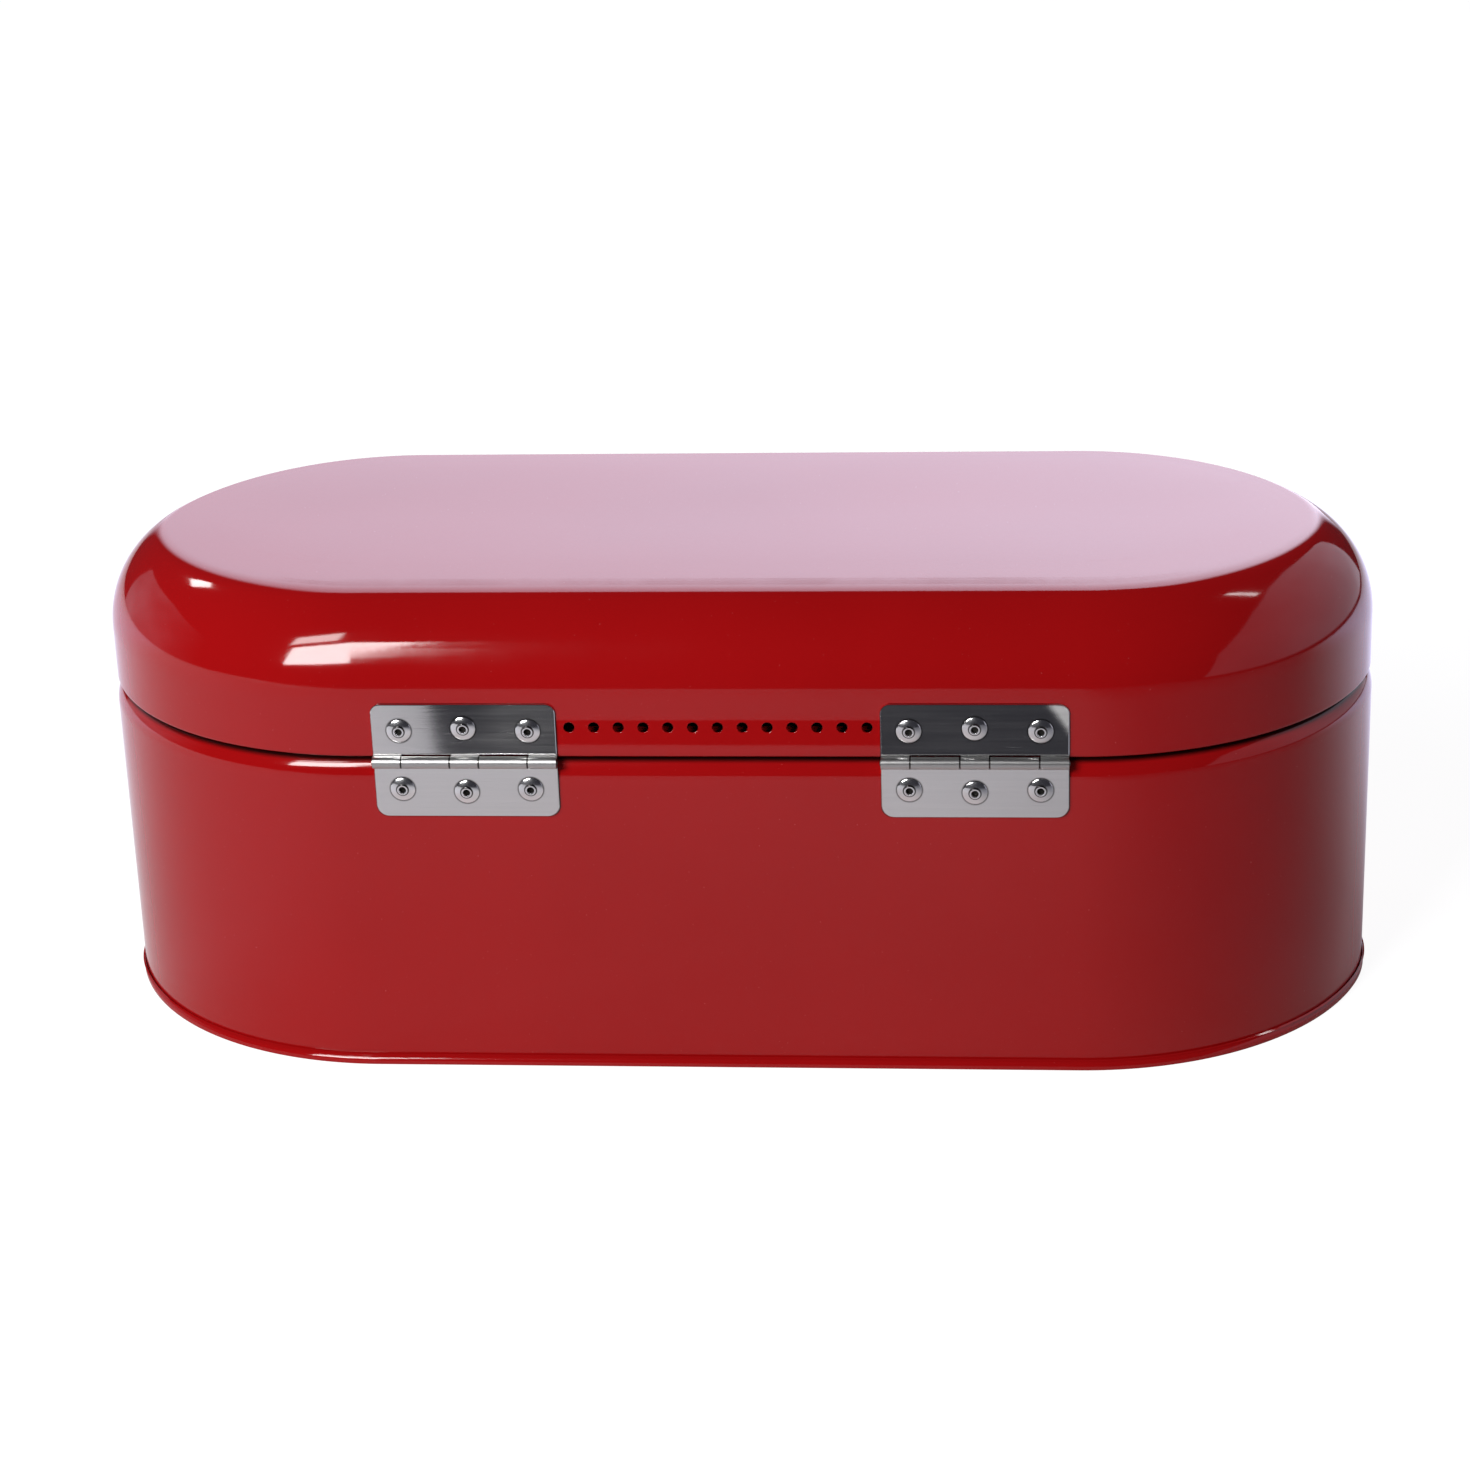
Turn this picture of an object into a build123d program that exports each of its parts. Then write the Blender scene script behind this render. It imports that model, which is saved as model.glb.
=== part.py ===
from build123d import *
from math import acos, asin, cos, degrees, radians, sin
import os

# Bread box: a pressed-steel bin, straight-sided with rounded ends, whose domed lid hangs on two
# riveted butt hinges. Millimetres. The origin is the middle of the footprint on the surface the
# box stands on, +Z is up, the front faces -Y and the hinges are on the back, at +Y.

# Overall size
length = 432.0  # of the lid, end to end
width = 182.0  # front to back, without the hinge barrels
height = 166.0  # from the standing surface to the top of the lid
sheet = 0.6  # thickness of the steel sheet

# Plan outline: straight sides, then a wide arc, then a tighter arc at the very end
tip_radius = 71.6  # arc at the very end
tip_arc = 20.4  # degrees it turns, each side of the very end
base_end_reach = 0.6  # how much further out than the lid each end of the base stands

# Lid
dome_radius = 35.4  # rounding between the flat top and the skirt
skirt_height = 18.8  # from the lid's lower edge up to the dome
edge_bend_radius = 1.2  # outside of the bend at the lower edge
flange_width = 6.0  # how far inside the skirt the turned-in flange ends
hem_length = 2.4  # of the hem folded back on the flange
hem_gap = 0.2  # between the flange and its folded hem

# Vent holes, as many as there is room for between the hinges
vent_diameter = 3.5
vent_pitch = 8.0
vent_height = 10.4  # above the lid's lower edge
vent_hinge_gap = 4.0  # least distance from the middle of a vent to a hinge leaf
drill_depth = 3.0  # how far a hole is drilled in from the outside of a wall

# Base wall
seat_gap = 0.3  # between the top of the shoulder and the lid's flange
shoulder_low_radius = 12.0  # the easy curve where the shoulder leaves the wall
shoulder_low_angle = 25.0
shoulder_top_radius = 5.3  # the tighter curve over the top
ledge_width = 0.3  # flat between the shoulder and the neck
neck_bend_radius = 0.8  # inside of the bend where the neck rises from the ledge
neck_height = 5.6  # straight part of the neck
neck_roll_diameter = 2.8  # of the roll along the top of the neck
neck_roll_angle = 180.0

# Base floor, whose rim is a channel that grips the foot of the wall
floor_height = 4.0  # of the floor's upper face
seam_clearance = 0.05  # between the wall's foot and the channel
seam_width = 1.2  # inside the channel
seam_height = 4.0  # of the channel's outer leg
seam_bend_radius = 0.7  # outside of the channel's two lower corners
seam_flare_radius = 1.5  # the top of the outer leg turns out
seam_flare_angle = 40.0
panel_bend_radius = 1.2  # outside of the bend where the channel meets the floor panel
panel_rim_width = 1.0  # flat strip between that bend and the floor panel

# Hinges
hinge_row_offset = -1.3  # middle of the hinges and vents, from the middle of the box
hinge_end_gap = 4.2  # from a hinge leaf to the end of the straight side
hinge_drop_height = 1.0  # of the hinge line below the lid's lower edge
leaf_width = 60.0
leaf_thickness = 1.0
lid_leaf_height = 19.6  # from the hinge line up to the end of the leaf
base_leaf_height = 19.4  # from the hinge line down to the end of the leaf
lid_leaf_radius = 3.0  # corners
base_leaf_radius = 4.0
leaf_chamfer = 0.2
pin_diameter = 2.0
pin_clearance = 0.05  # between the pin and the knuckles, all round
pin_end_length = 0.4  # that stands out of the barrel
pin_chamfer = 0.3
knuckle_gap = 0.3  # between neighbouring knuckles
lid_knuckle_length = 9.2  # of each of the three knuckles on the lid leaf
knuckle_slot_gap = 0.35  # between a barrel and the edge of the other leaf
curl_seam_gap = 0.15  # between the end of a knuckle's curl and its own leaf

# Blind rivets
rivet_diameter = 4.0
rivet_hole_clearance = 0.05
rivet_head_diameter = 8.0
rivet_head_height = 1.15
rivet_rim_thickness = 0.25  # of the head at its edge
collar_diameter = 3.3  # raised ring round the stem hole
collar_height = 0.2
bulb_diameter = 5.8  # blind end, behind the sheet
bulb_length = 3.0
bulb_taper_length = 0.8  # at each end of the bulb
bulb_clearance = 0.05
stem_diameter = 2.0
stem_clearance = 0.04
stem_recess_depth = 1.3  # from the top of the head down to the broken stem
stem_head_diameter = 3.2
stem_head_length = 1.5
stem_head_chamfer = 0.5
rivet_pitch = 21.0
rivet_stagger_height = 0.9  # the middle rivet stands this much further from the barrel
lid_rivet_height = 10.6  # of the outer rivets above the hinge line
base_rivet_height = 9.7  # of the outer rivets below the hinge line

# Plan outline, worked out so that straight, wide arc and tip arc run smoothly into each other
half_width = width / 2
tip_slope = sin(radians(tip_arc))
wide_arc = 90 - tip_arc
wide_radius = (half_width - tip_radius * tip_slope) / (1 - tip_slope)
wide_run = (wide_radius - tip_radius) * cos(radians(tip_arc))
wide_y = half_width - wide_radius
straight_half = length / 2 - tip_radius - wide_run

# Heights, from the top of the box down
lid_edge_z = height - dome_radius - skirt_height
skirt_foot_z = lid_edge_z + edge_bend_radius
vent_z = lid_edge_z + vent_height
axis_z = lid_edge_z - hinge_drop_height
shoulder_turn = sin(radians(shoulder_low_angle))
shoulder_rise = shoulder_low_radius * shoulder_turn + shoulder_top_radius * (1 - shoulder_turn)
shoulder_start_z = lid_edge_z - seat_gap - shoulder_rise

# Hinge places and sizes that follow from the straight side, the pin and the sheets
hinge_spread = 2 * (straight_half - hinge_end_gap) - leaf_width
vent_room = (hinge_spread - leaf_width) / 2 - vent_hinge_gap
vent_count = 2 * int(vent_room / vent_pitch) + 1
barrel_radius = pin_diameter / 2 + pin_clearance + leaf_thickness
barrel_y = half_width + barrel_radius
slot_edge = barrel_radius + knuckle_slot_gap
base_knuckle_length = (leaf_width - 3 * lid_knuckle_length - 4 * knuckle_gap) / 2
curl_end = (barrel_radius - leaf_thickness - curl_seam_gap) / barrel_radius
curl_angle = 360 - degrees(acos(curl_end))
grip = leaf_thickness + sheet
bulb_top = -grip - bulb_clearance
blind_end = bulb_top - bulb_length

# A cut through the wall at the middle of the back, its x axis pointing out of the box
back_cut = Plane(origin=(0, half_width, 0), x_dir=(0, 1, 0), z_dir=(1, 0, 0))


def plan_face(half_straight, inset):
    """The plan outline as a flat face, inset from the outside of the wall."""
    with BuildSketch() as plan:
        with BuildLine():
            Line((0, half_width - inset), (half_straight, half_width - inset))
            CenterArc((half_straight, wide_y), wide_radius - inset, 90, -wide_arc)
            CenterArc((half_straight + wide_run, 0), tip_radius - inset, tip_arc, -tip_arc)
            mirror(about=Plane.XZ)
            mirror(about=Plane.YZ)
        make_face()
    return plan.sketch


def run_round(section, half_straight):
    """Carry a section drawn on back_cut once round the plan outline: a quarter, mirrored twice."""
    wide_axis = Axis((half_straight, wide_y, 0), (0, 0, 1))
    tip_axis = Axis((half_straight + wide_run, 0, 0), (0, 0, 1))
    wide_start = Pos(half_straight, 0, 0) * section
    tip_start = wide_start.rotate(wide_axis, -wide_arc)
    extrude(section, amount=half_straight)
    revolve(wide_start, axis=wide_axis, revolution_arc=-wide_arc)
    revolve(tip_start, axis=tip_axis, revolution_arc=-tip_arc)
    mirror(about=Plane.XZ)
    mirror(about=Plane.YZ)


def hinge_plane(side, leaf_up):
    """The back face at a hinge, seen from behind, with y running away from the hinge line."""
    middle_x = hinge_row_offset + side * hinge_spread / 2
    return Plane(origin=(middle_x, half_width, axis_z), x_dir=(-leaf_up, 0, 0), z_dir=(0, 1, 0))


def rivet_points(rise):
    """The three rivet centres of a leaf on its hinge plane."""
    return [(-rivet_pitch, rise), (0, rise + rivet_stagger_height), (rivet_pitch, rise)]


def drill_rivet_holes(plane, rise):
    """Drill the three rivet holes of a leaf into the part being built."""
    with Locations(plane):
        with Locations(*rivet_points(rise)):
            Hole(radius=rivet_diameter / 2 + rivet_hole_clearance, depth=drill_depth)


def hinge_leaf(plane, reach, corner, rise, knuckle_length, knuckle_places):
    """A leaf: a flat plate with rounded far corners whose near edge is curled into knuckles."""
    away = Axis(plane.origin, plane.y_dir)
    outward = Axis(plane.origin, plane.z_dir)
    with BuildPart() as leaf:
        with BuildSketch(plane) as plate:
            with Locations((0, slot_edge)):
                Rectangle(leaf_width, reach - slot_edge, align=(Align.CENTER, Align.MIN))
            fillet(plate.vertices().group_by(Axis.Y)[-1], radius=corner)
        extrude(amount=leaf_thickness)
        outer_face = leaf.faces().sort_by(outward)[-1]
        chamfer(outer_face.edges().sort_by(away)[1:], length=leaf_chamfer)
        for place in knuckle_places:
            cut = Plane(
                origin=plane.origin + plane.x_dir * place, x_dir=plane.z_dir, z_dir=-plane.x_dir
            )
            with BuildSketch(cut):
                with BuildLine():
                    web = Line((leaf_thickness / 2, slot_edge), (leaf_thickness / 2, 0))
                    JernArc(web @ 1, web % 1, barrel_radius - leaf_thickness / 2, curl_angle)
                trace(line_width=leaf_thickness)
            extrude(amount=knuckle_length / 2, both=True)
        drill_rivet_holes(plane, rise)
    return leaf.part


def set_fasteners(fastener, plane, rise):
    """Three copies of a fastener, seated on the outer face of a leaf."""
    with BuildPart() as row:
        with Locations(plane.offset(leaf_thickness)):
            with Locations(*rivet_points(rise)):
                add(fastener)
    return row.part


# Base wall: up from the foot, over the shoulder, up the neck and round the roll at its top
with BuildPart() as base_wall:
    with BuildSketch(back_cut) as wall_cut:
        with BuildLine():
            wall = Line((-sheet / 2, sheet + 2 * seam_clearance), (-sheet / 2, shoulder_start_z))
            low = JernArc(wall @ 1, wall % 1, shoulder_low_radius - sheet / 2, shoulder_low_angle)
            top = JernArc(low @ 1, low % 1, shoulder_top_radius - sheet / 2, 90 - shoulder_low_angle)
            ledge = PolarLine(top @ 1, ledge_width, direction=top % 1)
            bend = JernArc(ledge @ 1, ledge % 1, neck_bend_radius + sheet / 2, -90)
            neck = PolarLine(bend @ 1, neck_height, direction=bend % 1)
            JernArc(neck @ 1, neck % 1, (neck_roll_diameter - sheet) / 2, neck_roll_angle)
        trace(line_width=sheet)
    run_round(wall_cut.sketch, straight_half + base_end_reach)
    for side in (-1, 1):
        drill_rivet_holes(hinge_plane(side, -1), base_rivet_height)

# Base floor: a flat panel whose edge drops into the channel and comes up outside the wall
with BuildPart() as base_floor:
    with BuildSketch(back_cut) as rim_cut:
        with BuildLine():
            outer_leg_x = seam_clearance + sheet / 2
            inner_leg_x = seam_clearance - seam_width - sheet / 2
            panel_end_x = inner_leg_x - panel_bend_radius + sheet / 2 - panel_rim_width
            panel_y = floor_height - sheet / 2
            strip = Line((panel_end_x, panel_y), (panel_end_x + panel_rim_width, panel_y))
            drop = JernArc(strip @ 1, strip % 1, panel_bend_radius - sheet / 2, -90)
            inner_leg = Line(drop @ 1, (inner_leg_x, seam_bend_radius))
            inner_bend = JernArc(inner_leg @ 1, inner_leg % 1, seam_bend_radius - sheet / 2, 90)
            sole = Line(inner_bend @ 1, (outer_leg_x - seam_bend_radius + sheet / 2, sheet / 2))
            outer_bend = JernArc(sole @ 1, sole % 1, seam_bend_radius - sheet / 2, 90)
            flare_rise = seam_flare_radius * sin(radians(seam_flare_angle))
            outer_leg = Line(outer_bend @ 1, (outer_leg_x, seam_height - flare_rise))
            JernArc(outer_leg @ 1, outer_leg % 1, seam_flare_radius, -seam_flare_angle)
        trace(line_width=sheet)
    run_round(rim_cut.sketch, straight_half + base_end_reach)
    with BuildSketch(Plane.XY.offset(floor_height - sheet)):
        add(plan_face(straight_half + base_end_reach, -panel_end_x))
    extrude(amount=sheet)

# The lid's lower edge: the skirt bends in to a flange whose end is folded back on itself
with BuildPart() as lid_flange:
    with BuildSketch(back_cut) as flange_cut:
        with BuildLine():
            fold_radius = (hem_gap + sheet) / 2
            turn = JernArc((-sheet / 2, skirt_foot_z), (0, -1), edge_bend_radius - sheet / 2, -90)
            flange_end = (fold_radius + sheet / 2 - flange_width, lid_edge_z + sheet / 2)
            flange = Line(turn @ 1, flange_end)
            fold = JernArc(flange @ 1, flange % 1, fold_radius, -180)
            PolarLine(fold @ 1, hem_length, direction=fold % 1)
        trace(line_width=sheet)
    run_round(flange_cut.sketch, straight_half)

# Lid shell: the outline drawn up, rounded over at the top, hollowed and set on its flange
with BuildPart() as lid_shell:
    with BuildSketch(Plane.XY.offset(skirt_foot_z)):
        add(plan_face(straight_half, 0))
    extrude(amount=height - skirt_foot_z)
    fillet(lid_shell.faces().sort_by(Axis.Z)[-1].edges(), radius=dome_radius)
    offset(amount=-sheet, openings=lid_shell.faces().sort_by(Axis.Z)[0])
    add(lid_flange.part)
    vent_row = Plane((hinge_row_offset, half_width, vent_z), x_dir=(1, 0, 0), z_dir=(0, 1, 0))
    with Locations(vent_row):
        with GridLocations(vent_pitch, 0, vent_count, 1):
            Hole(radius=vent_diameter / 2, depth=drill_depth)
    for side in (-1, 1):
        drill_rivet_holes(hinge_plane(side, 1), lid_rivet_height)

# One blind rivet as set, standing on its seat: dome above, shank through the sheets, bulb below
with BuildPart() as blind_rivet:
    with BuildSketch(Plane.XZ) as rivet_profile:
        with BuildLine():
            rim = rivet_head_diameter / 2
            shank = rivet_diameter / 2
            bulb = bulb_diameter / 2
            dome_rise = rivet_head_height - rivet_rim_thickness
            ball = (rim**2 + dome_rise**2) / (2 * dome_rise)
            dome = JernArc((0, rivet_head_height), (1, 0), ball, -degrees(asin(rim / ball)))
            under_head = Polyline(dome @ 1, (rim, 0), (shank, 0), (shank, bulb_top))
            widest = Line(
                (bulb, bulb_top - bulb_taper_length), (bulb, blind_end + bulb_taper_length)
            )
            Line(under_head @ 1, widest @ 0)
            Polyline(widest @ 1, (shank, blind_end), (0, blind_end), (0, rivet_head_height))
        make_face()
    revolve(axis=Axis.Z)
    with Locations((0, 0, rivet_head_height)):
        Cylinder(collar_diameter / 2, 2 * collar_height)
    with Locations((0, 0, blind_end)):
        Cylinder(stem_diameter / 2 + stem_clearance, 3 * -blind_end, mode=Mode.SUBTRACT)

# The stem left in a rivet, broken off below the head, with its own head behind the blind end
with BuildPart() as rivet_stem:
    stem_length = rivet_head_height - stem_recess_depth - blind_end
    upwards = (Align.CENTER, Align.CENTER, Align.MIN)
    downwards = (Align.CENTER, Align.CENTER, Align.MAX)
    with Locations((0, 0, blind_end)):
        Cylinder(stem_diameter / 2, stem_length, align=upwards)
        Cylinder(stem_head_diameter / 2, stem_head_length, align=downwards)
    chamfer(rivet_stem.edges().sort_by(Axis.Z)[0], length=stem_head_chamfer)

pieces = {"base_wall": base_wall.part, "base_floor": base_floor.part, "lid_shell": lid_shell.part}

# The two hinges, named left and right as seen from the front
base_place = (lid_knuckle_length + base_knuckle_length) / 2 + knuckle_gap
end_place = (leaf_width - lid_knuckle_length) / 2
for hinge, side in {"left": -1, "right": 1}.items():
    on_lid = hinge_plane(side, 1)
    on_base = hinge_plane(side, -1)
    pieces[f"{hinge}_hinge_lid_leaf"] = hinge_leaf(
        on_lid,
        reach=lid_leaf_height,
        corner=lid_leaf_radius,
        rise=lid_rivet_height,
        knuckle_length=lid_knuckle_length,
        knuckle_places=(-end_place, 0, end_place),
    )
    pieces[f"{hinge}_hinge_base_leaf"] = hinge_leaf(
        on_base,
        reach=base_leaf_height,
        corner=base_leaf_radius,
        rise=base_rivet_height,
        knuckle_length=base_knuckle_length,
        knuckle_places=(-base_place, base_place),
    )
    with BuildPart() as pin:
        with BuildSketch(Plane(origin=(on_lid.origin.X, barrel_y, axis_z), z_dir=(1, 0, 0))):
            Circle(pin_diameter / 2)
        extrude(amount=leaf_width / 2 + pin_end_length, both=True)
        chamfer(pin.faces().filter_by(GeomType.PLANE).edges(), length=pin_chamfer)
    pieces[f"{hinge}_hinge_pin"] = pin.part
    for half, plane, rise in (("lid", on_lid, lid_rivet_height), ("base", on_base, base_rivet_height)):
        pieces[f"{hinge}_{half}_rivets"] = set_fasteners(blind_rivet.part, plane, rise)
        pieces[f"{hinge}_{half}_rivet_stems"] = set_fasteners(rivet_stem.part, plane, rise)

os.makedirs("parts", exist_ok=True)
for name, piece in pieces.items():
    piece.label = name
    export_step(piece, f"parts/{name}.step")
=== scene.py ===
import logging
import math
from dataclasses import dataclass, field
from enum import Enum
from typing import Any, Optional, Union

import bmesh
import bpy
from mathutils import Matrix, Vector

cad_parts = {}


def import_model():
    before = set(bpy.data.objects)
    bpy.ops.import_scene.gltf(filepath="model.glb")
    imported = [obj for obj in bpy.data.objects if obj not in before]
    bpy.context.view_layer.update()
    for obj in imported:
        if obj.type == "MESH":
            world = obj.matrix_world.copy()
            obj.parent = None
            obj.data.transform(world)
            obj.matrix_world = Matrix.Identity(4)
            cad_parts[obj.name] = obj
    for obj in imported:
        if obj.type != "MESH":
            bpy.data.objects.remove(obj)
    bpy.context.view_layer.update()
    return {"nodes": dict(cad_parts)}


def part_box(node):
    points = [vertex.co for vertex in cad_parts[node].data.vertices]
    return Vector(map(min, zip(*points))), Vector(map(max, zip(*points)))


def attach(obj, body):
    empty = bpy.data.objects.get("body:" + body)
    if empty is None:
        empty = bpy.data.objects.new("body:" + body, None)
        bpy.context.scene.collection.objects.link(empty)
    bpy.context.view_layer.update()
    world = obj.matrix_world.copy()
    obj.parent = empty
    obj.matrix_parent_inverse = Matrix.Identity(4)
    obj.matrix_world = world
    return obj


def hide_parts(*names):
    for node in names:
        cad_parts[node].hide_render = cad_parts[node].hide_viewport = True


# A red enamelled steel bread box, seen from behind: its domed lid hangs on two riveted butt hinges.
# Metres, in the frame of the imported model: +Z is up, the hinges are at +Y.

log = logging.getLogger("bread_box")

Point2 = tuple[float, float]
Point3 = tuple[float, float, float]
Colour = tuple[float, float, float]

BLACK = (0.0, 0.0, 0.0)
WHITE = (1.0, 1.0, 1.0, 1.0)


class Slot(Enum):
    """The record's material slots."""

    ENAMEL = "red_enamel"
    LEAF = "hinge_steel"
    PIN = "pin_steel"
    RIVET = "rivet_aluminium"
    STEM = "stem_steel"


class Half(Enum):
    """The two bodies; each value is the body's own name."""

    LID = "lid"
    BASE = "base"


class Side(Enum):
    """The two hinges from the front of the box; each value is the first word of their nodes."""

    LEFT = "left"
    RIGHT = "right"


# Node graphs


class Wire:
    """An output socket of a node, with the operators that value maths needs."""

    def __init__(self, graph: "Graph", node: bpy.types.Node, output: Union[int, str] = 0) -> None:
        """Hold one output.

        Args:
            graph: the graph that the node is in.
            node: the node.
            output: the output's name or number.
        """
        self.graph = graph
        self.node = node
        self.socket = node.outputs[output]

    def out(self, output: Union[int, str]) -> "Wire":
        """Another output of the same node."""
        return Wire(self.graph, self.node, output)

    def _maths(self, operation: str, first: Any, second: Any) -> "Wire":
        """A Math node on two values.

        Args:
            operation: the node's operation.
            first: a wire or number.
            second: a wire or number.

        Returns:
            The node's result.
        """
        return self.graph.node("ShaderNodeMath", {"operation": operation}, {0: first, 1: second})

    def __add__(self, other: Any) -> "Wire":
        """Sum."""
        return self._maths("ADD", self, other)

    def __radd__(self, other: Any) -> "Wire":
        """Sum, with the number first."""
        return self._maths("ADD", other, self)

    def __sub__(self, other: Any) -> "Wire":
        """Difference."""
        return self._maths("SUBTRACT", self, other)

    def __rsub__(self, other: Any) -> "Wire":
        """Difference, with the number first."""
        return self._maths("SUBTRACT", other, self)

    def __mul__(self, other: Any) -> "Wire":
        """Product."""
        return self._maths("MULTIPLY", self, other)

    def __rmul__(self, other: Any) -> "Wire":
        """Product, with the number first."""
        return self._maths("MULTIPLY", other, self)

    def __truediv__(self, other: Any) -> "Wire":
        """Quotient."""
        return self._maths("DIVIDE", self, other)

    def __rtruediv__(self, other: Any) -> "Wire":
        """Quotient, with the number first."""
        return self._maths("DIVIDE", other, self)

    def __pow__(self, other: Any) -> "Wire":
        """Power."""
        return self._maths("POWER", self, other)

    def __rpow__(self, other: Any) -> "Wire":
        """Power, with the number first."""
        return self._maths("POWER", other, self)

    def __abs__(self) -> "Wire":
        """Value without its sign."""
        return self.graph.node("ShaderNodeMath", {"operation": "ABSOLUTE"}, {0: self})

    def least(self, other: Any) -> "Wire":
        """The lower of two values."""
        return self._maths("MINIMUM", self, other)

    def most(self, other: Any) -> "Wire":
        """The higher of two values."""
        return self._maths("MAXIMUM", self, other)

    def either(self, other: "Wire") -> "Wire":
        """A mask that is full where this one or another is."""
        return 1.0 - (1.0 - self) * (1.0 - other)


class Graph:
    """A shader or geometry node tree that is filled node by node."""

    def __init__(self, tree: bpy.types.NodeTree) -> None:
        """Take over a tree and empty it.

        Args:
            tree: the node tree to fill.
        """
        self.tree = tree
        tree.nodes.clear()

    def node(
        self,
        kind: str,
        settings: Optional[dict[str, Any]] = None,
        inputs: Optional[dict[Union[int, str], Any]] = None,
        output: Union[int, str] = 0,
    ) -> Optional[Wire]:
        """Make any node.

        Args:
            kind: the node's type.
            settings: its properties, set first; "stops" are a colour ramp's positions and greys.
            inputs: a value or wire for each socket, by number, identifier or name.
            output: the output that the returned wire holds.

        Returns:
            The node's output, or None from a node that ends the tree.
        """
        made = self.tree.nodes.new(kind)
        for name, value in (settings or {}).items():
            if name == "stops":
                self._set_stops(made.color_ramp, value)
            else:
                setattr(made, name, value)
        for key, value in (inputs or {}).items():
            for one in value if isinstance(value, list) else [value]:
                self._feed(self._socket(made, key), one)
        return Wire(self, made, output) if made.outputs else None

    @staticmethod
    def _socket(made: bpy.types.Node, key: Union[int, str]) -> bpy.types.NodeSocket:
        """An input socket.

        Args:
            made: the node.
            key: the socket's number, identifier or name.

        Returns:
            The socket.
        """
        if isinstance(key, int):
            return made.inputs[key]
        return next((s for s in made.inputs if s.identifier == key), None) or made.inputs[key]

    def _feed(self, socket: bpy.types.NodeSocket, value: Any) -> None:
        """Link a wire to a socket, or set the socket's own value.

        Args:
            socket: the input socket.
            value: the wire or value.
        """
        if isinstance(value, Wire):
            self.tree.links.new(value.socket, socket)
        else:
            socket.default_value = value

    def ramp(self, value: Wire, start: float, end: float) -> Wire:
        """A smooth rise from 0 to 1 while a value goes from start to end.

        Args:
            value: the value.
            start: where the rise begins.
            end: where the rise is complete, above or below the start.

        Returns:
            The rise.
        """
        return self.node(
            "ShaderNodeMapRange",
            {"interpolation_type": "SMOOTHSTEP"},
            {"Value": value, "From Min": start, "From Max": end},
        )

    @staticmethod
    def _set_stops(ramp: bpy.types.ColorRamp, stops: tuple[Point2, ...]) -> None:
        """Give a colour ramp grey stops.

        Args:
            ramp: the ramp.
            stops: each stop's position and grey value, in order.
        """
        while len(ramp.elements) < len(stops):
            ramp.elements.new(1.0)
        for element, (position, grey) in zip(ramp.elements, stops):
            element.position = position
            element.color = (grey, grey, grey, 1.0)

    def close_for_camera(self, unseen: Wire, seen: Wire, end: str) -> None:
        """End the tree with one shader for the camera and another for all other rays.

        Args:
            unseen: the shader that light and reflections meet.
            seen: the shader that the camera meets.
            end: the output node's type.
        """
        eye = self.node("ShaderNodeLightPath", output="Is Camera Ray")
        shader = self.node("ShaderNodeMixShader", {}, {0: eye, 1: unseen, 2: seen})
        self.node(end, {}, {"Surface": shader})


@dataclass(frozen=True)
class Pattern:
    """A noise on the object's own coordinates, of that many waves in a metre.

    A small stretch draws the pattern out along its axis. The shift moves it, so that two noises
    differ. Stops are the positions and values of a grey ramp that the noise goes through.
    """

    scale: float
    stretch: Point3 = (1.0, 1.0, 1.0)
    detail: float = 3.0
    roughness: float = 0.5
    shift: float = 0.0
    stops: tuple[Point2, ...] = ()


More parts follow.
